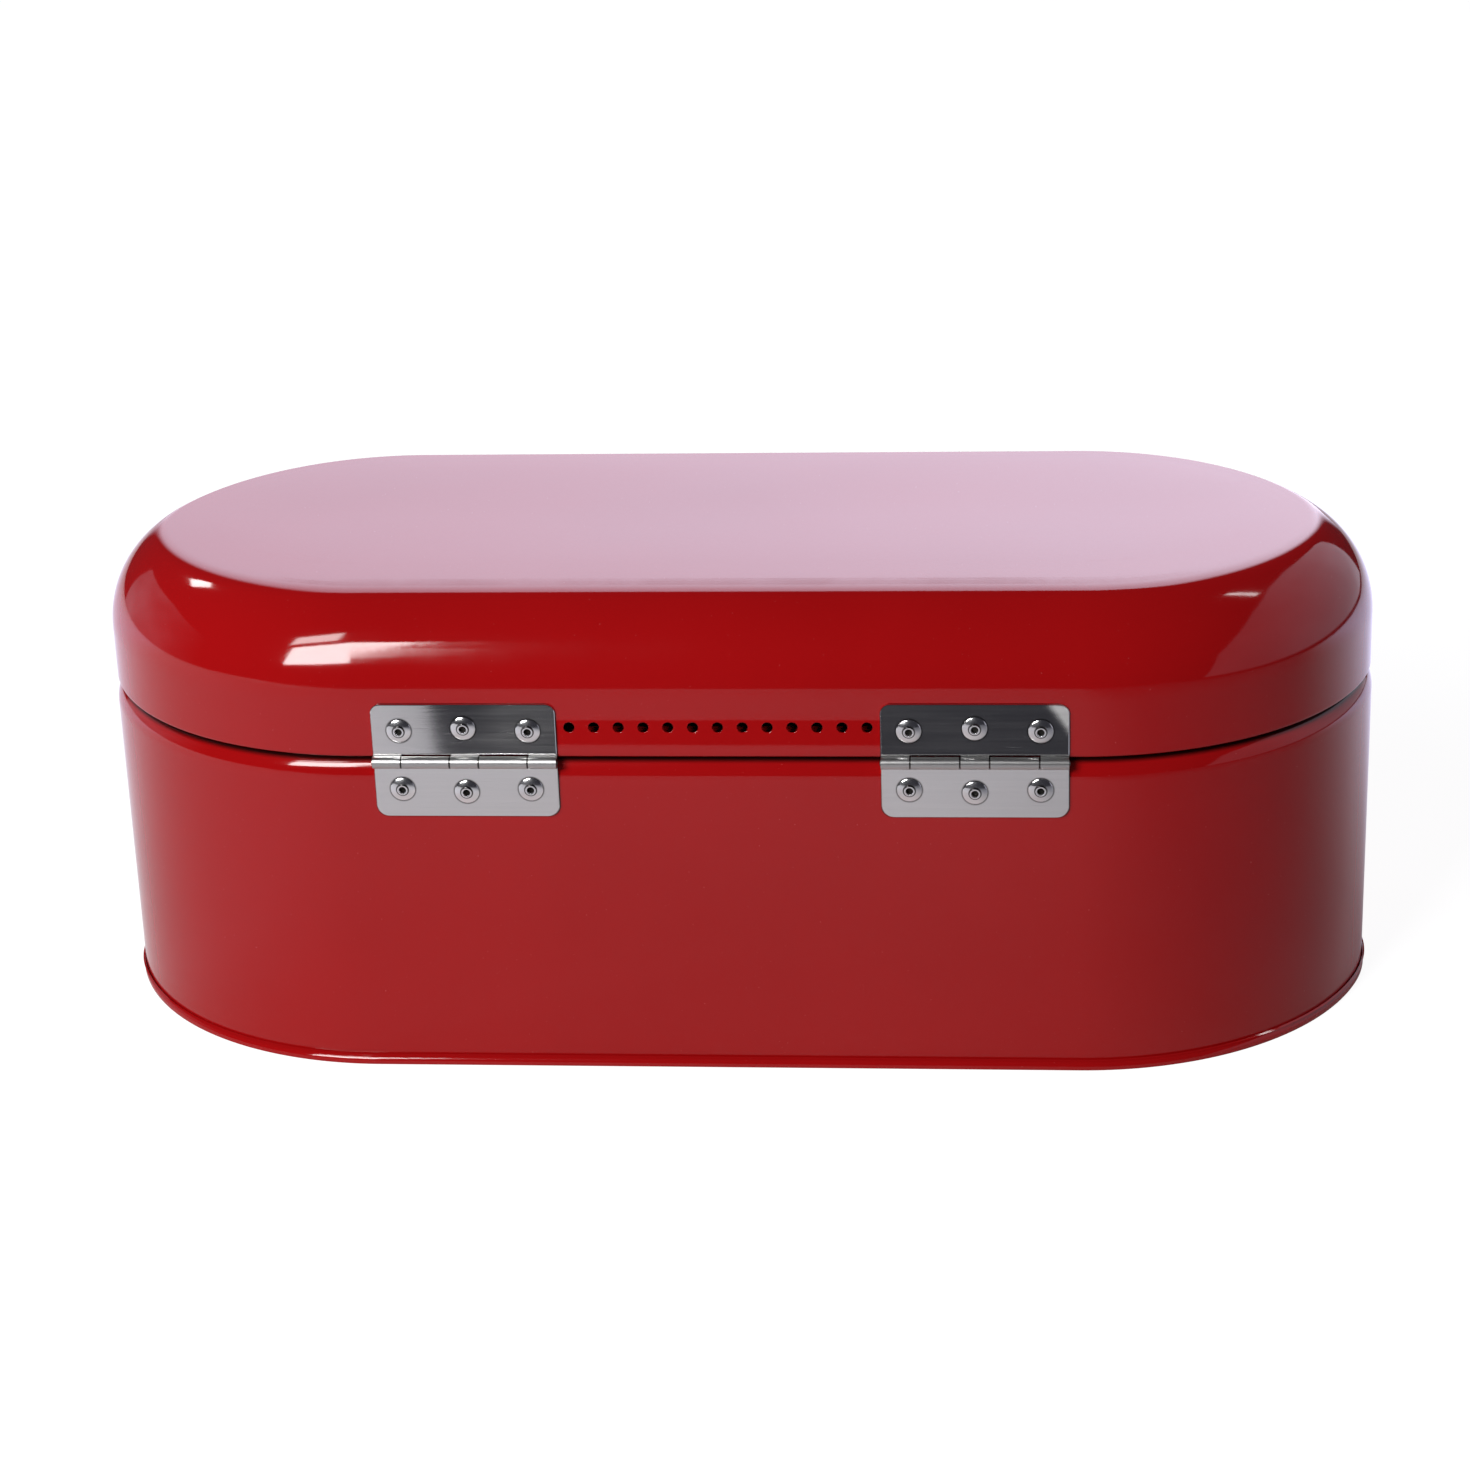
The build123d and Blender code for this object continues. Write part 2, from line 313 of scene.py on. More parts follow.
class MaterialGraph(Graph):
    """A material's tree, with the pattern pieces that the finishes share."""

    def __init__(self, name: str) -> None:
        """Make an empty material.

        Args:
            name: the material's name.
        """
        self.material = bpy.data.materials.new(name)
        self.material.use_nodes = True
        super().__init__(self.material.node_tree)
        self.place = self.node("ShaderNodeTexCoord", output="Object")
        self.axes = self.node("ShaderNodeSeparateXYZ", {}, {0: self.place})

    def noise(self, pattern: Pattern) -> Wire:
        """A pattern's noise.

        Args:
            pattern: the pattern.

        Returns:
            The value, from about 0 to 1.
        """
        shift = (pattern.shift, pattern.shift, pattern.shift)
        mapped = self.node(
            "ShaderNodeMapping",
            {},
            {"Vector": self.place, "Location": shift, "Scale": pattern.stretch},
        )
        sizes = {
            "Scale": pattern.scale,
            "Detail": pattern.detail,
            "Roughness": pattern.roughness,
        }
        value = self.node("ShaderNodeTexNoise", {}, {"Vector": mapped, **sizes})
        if not pattern.stops:
            return value
        return self.node("ShaderNodeValToRGB", {"stops": pattern.stops}, {"Fac": value})

    def mix(self, factor: Wire, first: Any, second: Any) -> Wire:
        """A mix of two colours, the first where the factor is 0.

        Args:
            factor: the share of the second colour.
            first: a colour or wire.
            second: a colour or wire.

        Returns:
            The mixed colour.
        """
        first = (*first, 1.0) if isinstance(first, tuple) else first
        second = (*second, 1.0) if isinstance(second, tuple) else second
        return self.node(
            "ShaderNodeMix",
            {"data_type": "RGBA"},
            {"Factor_Float": factor, "A_Color": first, "B_Color": second},
            output=2,
        )

    def bump(self, height: Wire, distance: float, over: Optional[Wire] = None) -> Wire:
        """A bumped normal.

        Args:
            height: where 1 is a rise of the full distance.
            distance: in metres.
            over: a bumped normal that this one is laid on.

        Returns:
            The normal.
        """
        inputs = {"Height": height, "Distance": distance}
        if over is not None:
            inputs["Normal"] = over
        return self.node("ShaderNodeBump", {}, inputs)

    def finish(self, inputs: dict[str, Any]) -> bpy.types.Material:
        """Close the tree with a Principled shader.

        Args:
            inputs: values and wires of the shader's sockets.

        Returns:
            The finished material.
        """
        shader = self.node("ShaderNodeBsdfPrincipled", {}, inputs)
        self.node("ShaderNodeOutputMaterial", {}, {"Surface": shader})
        return self.material


# Finishes


@dataclass(frozen=True)
class ShadeAndGrimeMap:
    """Masks of painted shade at rivets, knuckle joints, leaves and the lid's seam, and of the
    barrels' film.
    """

    row_x: float
    hinge_x: float = 0.08229
    axis_z: float = 0.1108
    axis_fade: float = 0.0005
    rivet_pitch: float = 0.021
    middle_share: Point2 = (0.55, 0.45)
    lid_rivet_rise: float = 0.0106
    base_rivet_rise: float = 0.0097
    stagger: float = 0.0009
    rivet_radius: float = 0.004
    rivet_border: float = 0.0007
    groove_radius: float = 0.00194
    groove_fade: Point2 = (0.00030, 0.00012)
    joints: Point2 = (0.00475, 0.02065)
    joint_fade: Point2 = (0.00032, 0.00018)
    joint_border: float = 0.0004
    barrel: float = 0.00205
    film_border: Point2 = (0.0008, 0.0003)
    leaf_half: Point2 = (0.03, 0.0195)
    leaf_corner: float = 0.0035
    leaf_border: float = 0.0005
    outer_face: Point2 = (0.0905, 0.0908)
    seam: Point2 = (0.1089, 0.1104)
    seam_end: Point2 = (0.1119, 0.1116)

    def _along(self, graph: MaterialGraph) -> Wire:
        """How far along its hinge a point is from the hinge's middle."""
        return abs(abs(graph.axes.out("X") - self.row_x) - self.hinge_x)

    def _rise(self, graph: MaterialGraph) -> Wire:
        """How far a point is above or below the hinge line."""
        return abs(graph.axes.out("Z") - self.axis_z)

    def _from_rivet(self, graph: MaterialGraph) -> Wire:
        """How far a point is from the axis of the nearest rivet.

        Args:
            graph: the material's graph.

        Returns:
            The distance.
        """
        along = self._along(graph)
        above = graph.axes.out("Z") - self.axis_z
        is_lid = graph.ramp(above, -self.axis_fade, self.axis_fade)
        outer, inner = self.middle_share
        is_middle = graph.ramp(along, self.rivet_pitch * outer, self.rivet_pitch * inner)
        rise = is_lid * (self.lid_rivet_rise - self.base_rivet_rise) + self.base_rivet_rise
        aside = along.least(abs(along - self.rivet_pitch))
        up = abs(above) - rise - is_middle * self.stagger
        return (aside * aside + up * up) ** 0.5

    def rivet_rings(self, graph: MaterialGraph) -> Wire:
        """The painted shadow round the foot of the rivet heads, from 0 to 1."""
        outer = self.rivet_radius + self.rivet_border
        return graph.ramp(self._from_rivet(graph), outer, self.rivet_radius)

    def collar_rings(self, graph: MaterialGraph) -> Wire:
        """The painted shade in the groove round each rivet's collar, from 0 to 1."""
        aside = abs(self._from_rivet(graph) - self.groove_radius)
        return graph.ramp(aside, *self.groove_fade)

    def knuckle_joints(self, graph: MaterialGraph) -> Wire:
        """The painted shade in the joints between the knuckles.

        Args:
            graph: the material's graph.

        Returns:
            The mask, from 0 to 1.
        """
        along = self._along(graph)
        first, second = self.joints
        aside = abs(along - first).least(abs(along - second))
        beside = graph.ramp(self._rise(graph), self.barrel + self.joint_border, self.barrel)
        return graph.ramp(aside, *self.joint_fade) * beside

    def barrels(self, graph: MaterialGraph) -> Wire:
        """The dull film on the barrels, from 0 to 1."""
        first, last = self.film_border
        return graph.ramp(self._rise(graph), self.barrel + first, self.barrel + last)

    def shell(self, graph: MaterialGraph) -> Wire:
        """The painted shade on the enamel in the seam under the lid and round the leaves.

        Args:
            graph: the material's graph.

        Returns:
            The mask, from 0 to 1.
        """
        height = graph.axes.out("Z")
        corner = self.leaf_corner
        aside = (self._along(graph) - (self.leaf_half[0] - corner)).most(0.0)
        up = (self._rise(graph) - (self.leaf_half[1] - corner)).most(0.0)
        distance = (aside * aside + up * up) ** 0.5
        behind = graph.ramp(distance, corner + self.leaf_border, corner)
        behind = behind * graph.ramp(graph.axes.out("Y"), *self.outer_face)
        return behind.either(graph.ramp(height, *self.seam) * graph.ramp(height, *self.seam_end))


@dataclass(frozen=True)
class RedEnamel:
    """Glossy red enamel on sheet steel: a deep, slightly uneven coat with faint dust, rubs and
    painted shade.
    """

    shade_and_grime: ShadeAndGrimeMap
    colour: Colour = (0.34, 0.0030, 0.0036)
    thin_colour: Colour = (0.395, 0.0043, 0.0052)
    thin_share: float = 0.6
    speck_colour: Colour = (0.70, 0.16, 0.16)
    speck_share: float = 0.55
    # The colour of the painted shade in the seam under the lid and round the hinge leaves.
    shade_and_grime_colour: Colour = (0.016, 0.0015, 0.0015)
    roughness: float = 0.055
    rub_roughness: float = 0.10
    scratch_roughness: float = 0.05
    shade_and_grime_roughness: float = 0.1
    refraction: float = 1.5
    peel_height: float = 0.000004
    sag_height: float = 0.00018
    clouds: Pattern = Pattern(9.0, shift=0.3, stops=((0.35, 0.0), (0.7, 1.0)))
    specks: Pattern = Pattern(1500.0, detail=1.0, shift=2.0, stops=((0.79, 0.0), (0.83, 1.0)))
    rubs: Pattern = Pattern(26.0, detail=6.0, roughness=0.65, stops=((0.4, 0.0), (0.75, 1.0)))
    scratches: Pattern = Pattern(
        60.0, (0.22, 1.0, 9.0), detail=1.0, shift=5.0, stops=((0.748, 0.0), (0.756, 1.0))
    )
    peel: Pattern = Pattern(520.0, detail=2.0)
    sag: Pattern = Pattern(14.0, detail=1.0, shift=7.0)

    def build(self) -> bpy.types.Material:
        """The enamel as a material.

        Returns:
            The material.
        """
        graph = MaterialGraph(Slot.ENAMEL.value)
        coat = graph.mix(graph.noise(self.clouds) * self.thin_share, self.colour, self.thin_colour)
        coat = graph.mix(graph.noise(self.specks) * self.speck_share, coat, self.speck_colour)
        # Painted shade in the seam under the lid and round the hinge leaves.
        shade_and_grime = self.shade_and_grime.shell(graph)
        rough = graph.noise(self.rubs) * (self.rub_roughness - self.roughness) + self.roughness
        rough = rough + graph.noise(self.scratches) * self.scratch_roughness
        peel = graph.noise(self.peel) * (self.peel_height / self.sag_height)
        return graph.finish(
            {
                "Base Color": graph.mix(shade_and_grime, coat, self.shade_and_grime_colour),
                "Roughness": rough + shade_and_grime * self.shade_and_grime_roughness,
                "Normal": graph.bump(peel + graph.noise(self.sag), self.sag_height),
                "IOR": self.refraction,
            }
        )


@dataclass(frozen=True)
class BrushedSteel:
    """Brushed stainless steel of the hinge leaves, its grain running along the hinge line."""

    shade_and_grime: ShadeAndGrimeMap
    colour: Colour = (0.88, 0.87, 0.86)
    grain_colour: Colour = (0.79, 0.785, 0.78)
    # The colour of the painted shade round the rivets and in the joints, and of the barrels' dull
    # film.
    shade_and_grime_colour: Colour = (0.05, 0.045, 0.04)
    ring_share: float = 0.85
    film_share: float = 0.35
    streak_share: float = 0.5
    roughness: float = 0.07
    grain_roughness: float = 0.06
    drift_roughness: float = 0.1
    film_roughness: float = 0.16
    rubbed_roughness: float = 0.25
    grain_height: float = 0.000006
    scratch_depth: float = 0.8
    rubbed_above: Point2 = (0.113, 0.114)
    rubbed_slope: float = 0.71
    rubbed_edge: Point2 = (-0.1970, -0.2015)
    lean: float = 0.27
    lean_from: float = 0.1132
    lean_fade: float = 0.0004
    lean_inner: Point2 = (0.117, 0.068)
    lean_height: float = 0.02
    grain: Pattern = Pattern(3200.0, (0.012, 1.0, 1.0), detail=4.0, roughness=0.7)
    streaks: Pattern = Pattern(1100.0, (0.02, 1.0, 1.0), shift=6.0, stops=((0.3, 0.0), (0.7, 1.0)))
    drifts: Pattern = Pattern(90.0, (0.2, 1.0, 1.0), shift=3.0)
    scratches: Pattern = Pattern(
        scale=420.0,
        stretch=(0.25, 1.0, 1.6),
        detail=1.0,
        roughness=0.3,
        shift=9.0,
        stops=((0.700, 0.0), (0.712, 1.0)),
    )

    def build(self) -> bpy.types.Material:
        """The steel as a material.

        Returns:
            The material.
        """
        graph = MaterialGraph(Slot.LEAF.value)
        streaks = graph.noise(self.streaks) * self.streak_share
        grain = graph.noise(self.grain) * (1.0 - self.streak_share) + streaks
        film = self.shade_and_grime.barrels(graph)
        joints = self.shade_and_grime.knuckle_joints(graph).either(film * self.film_share)
        # Painted shadow round the rivet heads and painted shade in the knuckle joints, with the
        # barrels' dull film.
        shade_and_grime = (self.shade_and_grime.rivet_rings(graph) * self.ring_share).either(joints)
        metal = graph.mix(grain, self.grain_colour, self.colour)
        rough = grain * self.grain_roughness + graph.noise(self.drifts) * self.drift_roughness
        rough = rough + self.roughness + film * self.film_roughness
        height = grain - graph.noise(self.scratches) * self.scratch_depth
        return graph.finish(
            {
                "Base Color": graph.mix(shade_and_grime, metal, self.shade_and_grime_colour),
                "Metallic": 1.0,
                "Roughness": rough + self._rubbed(graph) * self.rubbed_roughness,
                "Normal": graph.bump(height, self.grain_height, over=self._lean(graph)),
            }
        )

    def _rubbed(self, graph: MaterialGraph) -> Wire:
        """The rubbed corner of the upper leaf of the left hinge.

        Args:
            graph: the material's graph.

        Returns:
            The mask, from 0 to 1.
        """
        at = graph.axes
        above = graph.ramp(at.out("Z"), *self.rubbed_above)
        return graph.ramp(at.out("X") - at.out("Z") * self.rubbed_slope, *self.rubbed_edge) * above

    def _lean(self, graph: MaterialGraph) -> Wire:
        """The slight inward lean of the upper leaves, which the riveted skirt gives them.

        Args:
            graph: the material's graph.

        Returns:
            The bumped normal.
        """
        at = graph.axes
        above = graph.ramp(at.out("Z"), self.lean_from, self.lean_from + self.lean_fade)
        inner = graph.ramp(at.out("X"), *self.lean_inner)
        depth = (at.out("Z") - self.lean_from) * inner * above * (-self.lean / self.lean_height)
        return graph.bump(depth, self.lean_height)


@dataclass(frozen=True)
class PlainMetal:
    """A turned or drawn metal with faint rings or streaks: pins, rivets and broken stems."""

    name: str
    colour: Colour
    dull_colour: Colour
    roughness: float
    dull_roughness: float
    streak_scale: float
    streak_height: float
    shade_and_grime: Optional[ShadeAndGrimeMap] = None
    # The colour of the painted shade in the groove round each rivet's collar.
    shade_and_grime_colour: Colour = (0.06, 0.055, 0.05)
    shade_and_grime_share: float = 0.9
    dull_spread: float = 6.0

    def build(self) -> bpy.types.Material:
        """The metal as a material.

        Returns:
            The material.
        """
        graph = MaterialGraph(self.name)
        streaks = graph.noise(Pattern(self.streak_scale, detail=4.0, roughness=0.6))
        coarse = self.streak_scale / self.dull_spread
        dull = graph.noise(Pattern(coarse, shift=4.0, stops=((0.4, 0.0), (0.7, 1.0))))
        colour = graph.mix(dull, self.colour, self.dull_colour)
        if self.shade_and_grime is not None:
            # Painted shade in the groove round the rivet's collar.
            shade_and_grime = self.shade_and_grime.collar_rings(graph) * self.shade_and_grime_share
            colour = graph.mix(shade_and_grime, colour, self.shade_and_grime_colour)
        return graph.finish(
            {
                "Base Color": colour,
                "Metallic": 1.0,
                "Roughness": dull * (self.dull_roughness - self.roughness) + self.roughness,
                "Normal": graph.bump(streaks, self.streak_height),
            }
        )


@dataclass
class Finishes:
    """The five materials of the box, made once."""

    row_x: float
    enamel: bpy.types.Material = field(init=False)
    leaf: bpy.types.Material = field(init=False)
    pin: bpy.types.Material = field(init=False)
    rivet: bpy.types.Material = field(init=False)
    stem: bpy.types.Material = field(init=False)

    def __post_init__(self) -> None:
        """Build each material."""
        shade_and_grime = ShadeAndGrimeMap(self.row_x)
        self.enamel = RedEnamel(shade_and_grime).build()
        self.leaf = BrushedSteel(shade_and_grime).build()
        self.pin = PlainMetal(
            name=Slot.PIN.value,
            colour=(0.16, 0.16, 0.155),
            dull_colour=(0.08, 0.08, 0.075),
            roughness=0.38,
            dull_roughness=0.55,
            streak_scale=900.0,
            streak_height=0.000006,
        ).build()
        self.rivet = PlainMetal(
            name=Slot.RIVET.value,
            colour=(0.95, 0.95, 0.96),
            dull_colour=(0.86, 0.87, 0.89),
            roughness=0.13,
            dull_roughness=0.22,
            streak_scale=700.0,
            streak_height=0.00001,
            shade_and_grime=shade_and_grime,
        ).build()
        self.stem = PlainMetal(
            name=Slot.STEM.value,
            colour=(0.035, 0.033, 0.03),
            dull_colour=(0.015, 0.014, 0.013),
            roughness=0.55,
            dull_roughness=0.75,
            streak_scale=1600.0,
            streak_height=0.00006,
        ).build()


# Sheet metal


@dataclass(frozen=True)
class Station:
    """A place on the plan outline, its outward direction, and the middle line's point beside it."""

    point: Vector
    outward: Vector
    middle: Vector

    def at(self, out: float, z: float) -> Vector:
        """The point that stands out from the outline by that much, at that height."""
        place = self.point + self.outward * out
        return Vector((place.x, place.y, z))


@dataclass(frozen=True)
class PlanOutline:
    """Straight sides that run into a wide arc and then a tighter one at each end."""

    half_length: float
    half_width: float
    tip_radius: float = 0.0716
    tip_arc: float = math.radians(20.4)
    straight_steps: int = 12
    wide_steps: int = 44
    tip_steps: int = 14

    @property
    def wide_radius(self) -> float:
        """The radius of the arc beside the straight side."""
        slope = math.sin(self.tip_arc)
        return (self.half_width - self.tip_radius * slope) / (1 - slope)

    @property
    def straight_half(self) -> float:
        """Half the length of a straight side."""
        run = (self.wide_radius - self.tip_radius) * math.cos(self.tip_arc)
        return self.half_length - self.tip_radius - run

    def nearest(self, x: float, y: float) -> tuple[Vector, float]:
        """The outline as seen from a point inside it.

        Args:
            x: of the point.
            y: of the point.

        Returns:
            The outward direction there and the distance in from the outline.
        """
        flip = Vector((math.copysign(1.0, x), math.copysign(1.0, y), 0.0))
        place = Vector((abs(x), abs(y), 0.0))
        wide_middle = Vector((self.straight_half, self.half_width - self.wide_radius, 0.0))
        arm = place - wide_middle
        if arm.x <= 0.0:
            outward, inset = Vector((0.0, 1.0, 0.0)), self.half_width - place.y
        elif math.atan2(arm.x, arm.y) <= math.pi / 2 - self.tip_arc:
            outward, inset = arm.normalized(), self.wide_radius - arm.length
        else:
            arm = place - Vector((self.half_length - self.tip_radius, 0.0, 0.0))
            outward, inset = arm.normalized(), self.tip_radius - arm.length
        return outward * flip, inset

    def quarter(self) -> list[tuple[float, float, float]]:
        """The quarter from the middle of the back to the end.

        Returns:
            Each station's x, y and the angle of its outward direction from +Y towards +X.
        """
        places = [
            (self.straight_half * i / self.straight_steps, self.half_width, 0.0)
            for i in range(self.straight_steps)
        ]
        wide_turn = math.pi / 2 - self.tip_arc
        centre_y = self.half_width - self.wide_radius
        for i in range(self.wide_steps):
            turn = wide_turn * i / self.wide_steps
            x = self.straight_half + self.wide_radius * math.sin(turn)
            places.append((x, centre_y + self.wide_radius * math.cos(turn), turn))
        tip_x = self.half_length - self.tip_radius
        for i in range(self.tip_steps + 1):
            turn = wide_turn + self.tip_arc * i / self.tip_steps
            x = tip_x + self.tip_radius * math.sin(turn)
            places.append((x, self.tip_radius * math.cos(turn), turn))
        return places

    def stations(self) -> list[Station]:
        """All the stations, once round, with none twice.

        Returns:
            The stations in order.
        """
        quarter = self.quarter()
        back = quarter + [(x, -y, math.pi - turn) for x, y, turn in reversed(quarter[:-1])]
        loop = back + [(-x, y, -turn) for x, y, turn in reversed(back[1:-1])]
        made = []
        for x, y, turn in loop:
            middle_x = max(-self.straight_half, min(self.straight_half, x))
            made.append(
                Station(
                    point=Vector((x, y, 0.0)),
                    outward=Vector((math.sin(turn), math.cos(turn), 0.0)),
                    middle=Vector((middle_x, 0.0, 0.0)),
                )
            )
        return made


class SheetCut:
    """The cut through a formed sheet, drawn along its middle line from stretch to stretch."""

    EDGE_ANGLES = (40, 75, 105, 140)

    def __init__(self, start: Point2, heading: float, thickness: float, step: float = 9.0) -> None:
        """Begin a cut.

        Args:
            start: distance out from the wall's face, and height.
            heading: degrees from outward, anticlockwise, so that 90 is up.
            thickness: of the sheet.
            step: the most that one facet of a bend turns, in degrees.
        """
        self.thickness = thickness
        self.step = step
        self.place = Vector(start)
        self.heading = math.radians(heading)
        self.points: list[tuple[Vector, Vector]] = []
        self._mark()

    def _mark(self) -> None:
        """Keep the present place and the direction to its left."""
        left = Vector((-math.sin(self.heading), math.cos(self.heading)))
        self.points.append((self.place.copy(), left))

    def line(self, length: float, support: float = 0.0, parts: int = 1) -> "SheetCut":
        """Go straight on.

        Args:
            length: how far.
            support: distance of an extra point from each end, which keeps the flat part flat.
            parts: how many the stretch between the extra points is cut into.

        Returns:
            The cut, to go on from.
        """
        ahead = Vector((math.cos(self.heading), math.sin(self.heading)))
        begin = self.place.copy()
        inner = length - 2 * support
        stops = [support + inner * i / parts for i in range(0 if support else 1, parts + 1)]
        for distance in stops + ([length] if support else []):
            self.place = begin + ahead * distance
            self._mark()
        return self

    def bend(self, outer_radius: float, turn: float, step: Optional[float] = None) -> "SheetCut":
        """Turn along an arc.

        Args:
            outer_radius: of the outside of the bend.
            turn: degrees, anticlockwise.
            step: the most that one facet turns, in degrees.

        Returns:
            The cut, to go on from.
        """
        radius = outer_radius - self.thickness / 2
        sign = 1.0 if turn > 0 else -1.0
        left = Vector((-math.sin(self.heading), math.cos(self.heading)))
        centre = self.place + left * radius * sign
        arm = self.place - centre
        count = max(2, math.ceil(abs(turn) / (step or self.step)))
        for i in range(1, count + 1):
            part = math.radians(turn) * i / count
            self.place = centre + Matrix.Rotation(part, 2) @ arm
            self.heading += math.radians(turn) / count
            self._mark()
        return self

    def _rounded_end(self, index: int, sign: float) -> list[Vector]:
        """The sheet's rounded edge at one end of the cut.

        Args:
            index: which end, 0 or -1.
            sign: 1.0 to go from left to right, -1.0 from right to left.

        Returns:
            The points between the two faces.
        """
        place, left = self.points[index]
        ahead = Vector((left.y, -left.x)) * sign
        half = self.thickness / 2
        return [
            place + (left * math.cos(angle) * sign + ahead * math.sin(angle)) * half
            for angle in map(math.radians, self.EDGE_ANGLES)
        ]

    def section(self, closed: bool) -> list[Vector]:
        """The outline of the cut.

        Args:
            closed: True for a rounded edge at the start too, False where a panel carries on there.

        Returns:
            The points, out along the left face and back along the right one.
        """
        half = self.thickness / 2
        left_face = [place + left * half for place, left in self.points]
        right_face = [place - left * half for place, left in reversed(self.points)]
        start_edge = self._rounded_end(0, -1.0) if closed else []
        return left_face + self._rounded_end(-1, 1.0) + right_face + start_edge


def skin(mesh: bmesh.types.BMesh, rows: list[list[bmesh.types.BMVert]], wrap: bool) -> None:
    """Join each row of points to the next, once round.

    Args:
        mesh: the mesh that holds them.
        rows: the points of each row, as many in each.
        wrap: whether the last point of a row joins its first.
    """
    count = len(rows[0])
    for i, row in enumerate(rows):
        after = rows[(i + 1) % len(rows)]
        for j in range(count if wrap else count - 1):
            k = (j + 1) % count
            mesh.faces.new((row[j], row[k], after[k], after[j]))


@dataclass
class FormedSheet:
    """A sheet-metal piece that has one cut all the way round the plan outline."""

    name: str
    outline: PlanOutline
    cut: SheetCut
    panelled: bool = False
    dish: float = 0.0

    PANEL_RINGS = (0.012, 0.05, 0.15, 0.35, 0.6, 0.85, 1.0)
    MERGE = 1e-6

    def build(self) -> bpy.types.Object:
        """Carry the cut round the outline and close any panel.

        Returns:
            The object, with no material yet.
        """
        stations = self.outline.stations()
        section = self.cut.section(closed=not self.panelled)
        mesh = bmesh.new()
        rows = [[mesh.verts.new(s.at(p.x, p.y)) for p in section] for s in stations]
        skin(mesh, rows, wrap=not self.panelled)
        if self.panelled:
            self._panel(mesh, stations, [row[0] for row in rows], section[0])
            self._panel(mesh, stations, [row[-1] for row in rows], section[-1])
        bmesh.ops.remove_doubles(mesh, verts=mesh.verts, dist=self.MERGE)
        bmesh.ops.dissolve_degenerate(mesh, edges=mesh.edges, dist=self.MERGE)
        bmesh.ops.recalc_face_normals(mesh, faces=mesh.faces)
        return new_object(self.name, mesh)

    def _panel(
        self,
        mesh: bmesh.types.BMesh,
        stations: list[Station],
        rim: list[bmesh.types.BMVert],
        edge: Vector,
    ) -> None:
        """Close a flat panel from its rim to the middle line.

        Args:
            mesh: the mesh that holds it.
            stations: the stations of the outline.
            rim: the rim's point at each station.
            edge: the rim's place in the cut.
        """
        rings = [rim]
        for share in self.PANEL_RINGS:
            sink = self.dish * math.sin(share * math.pi / 2) ** 2
            ring = []
            for station in stations:
                at = station.at(edge.x, 0.0).lerp(station.middle, share)
                ring.append(mesh.verts.new((at.x, at.y, edge.y - sink)))
            rings.append(ring)
        for outer, inner in zip(rings, rings[1:]):
            for i in range(len(outer)):
                k = (i + 1) % len(outer)
                mesh.faces.new((outer[i], outer[k], inner[k], inner[i]))


def new_object(name: str, mesh: bmesh.types.BMesh, rounded: bool = True) -> bpy.types.Object:
    """Turn a bmesh into an object in the scene.

    Args:
        name: the object's name.
        mesh: the mesh, which is freed.
        rounded: whether it is shaded smooth.

    Returns:
        The object.
    """
    data = bpy.data.meshes.new(name)
    mesh.to_mesh(data)
    mesh.free()
    made = bpy.data.objects.new(name, data)
    bpy.context.scene.collection.objects.link(made)
    if rounded:
        smooth(made)
    return made


def smooth(piece: bpy.types.Object, sharp_from: float = 38.0) -> None:
    """Shade a piece smooth, apart from its sharp edges.

    Args:
        piece: the object.
        sharp_from: degrees between faces from which an edge is sharp.
    """
    piece.data.polygons.foreach_set("use_smooth", [True] * len(piece.data.polygons))
    piece.data.set_sharp_from_angle(angle=math.radians(sharp_from))
    piece.data.update()


def ease(value: float, start: float, end: float) -> float:
    """How far a value has gone from start to end, from 0 to 1, with a soft start and end."""
    share = max(0.0, min(1.0, (value - start) / (end - start)))
    return share * share * (3 - 2 * share)


def bend_normals(piece: bpy.types.Object, wanted: dict[int, Vector], nearest: float) -> None:
    """Turn the shading normals at some points, with no change to the shape.

    Args:
        piece: the object.
        wanted: the new normal at each point, by the point's number.
        nearest: the least cosine between the old normal and the new one, so that the sheet's
            other face keeps its own.
    """
    mesh = piece.data
    normals = [Vector(corner.vector) for corner in mesh.corner_normals]
    for loop in mesh.loops:
        normal = wanted.get(loop.vertex_index)
        if normal is not None and normals[loop.index].dot(normal) > nearest:
            normals[loop.index] = normal
    mesh.normals_split_custom_set(normals)


def dress(piece: bpy.types.Object, material: bpy.types.Material) -> None:
    """Give a piece its material and its slot in the record.

    Args:
        piece: the object.
        material: the material.
    """
    piece.data.materials.clear()
    piece.data.materials.append(material)


# Repeats by geometry nodes


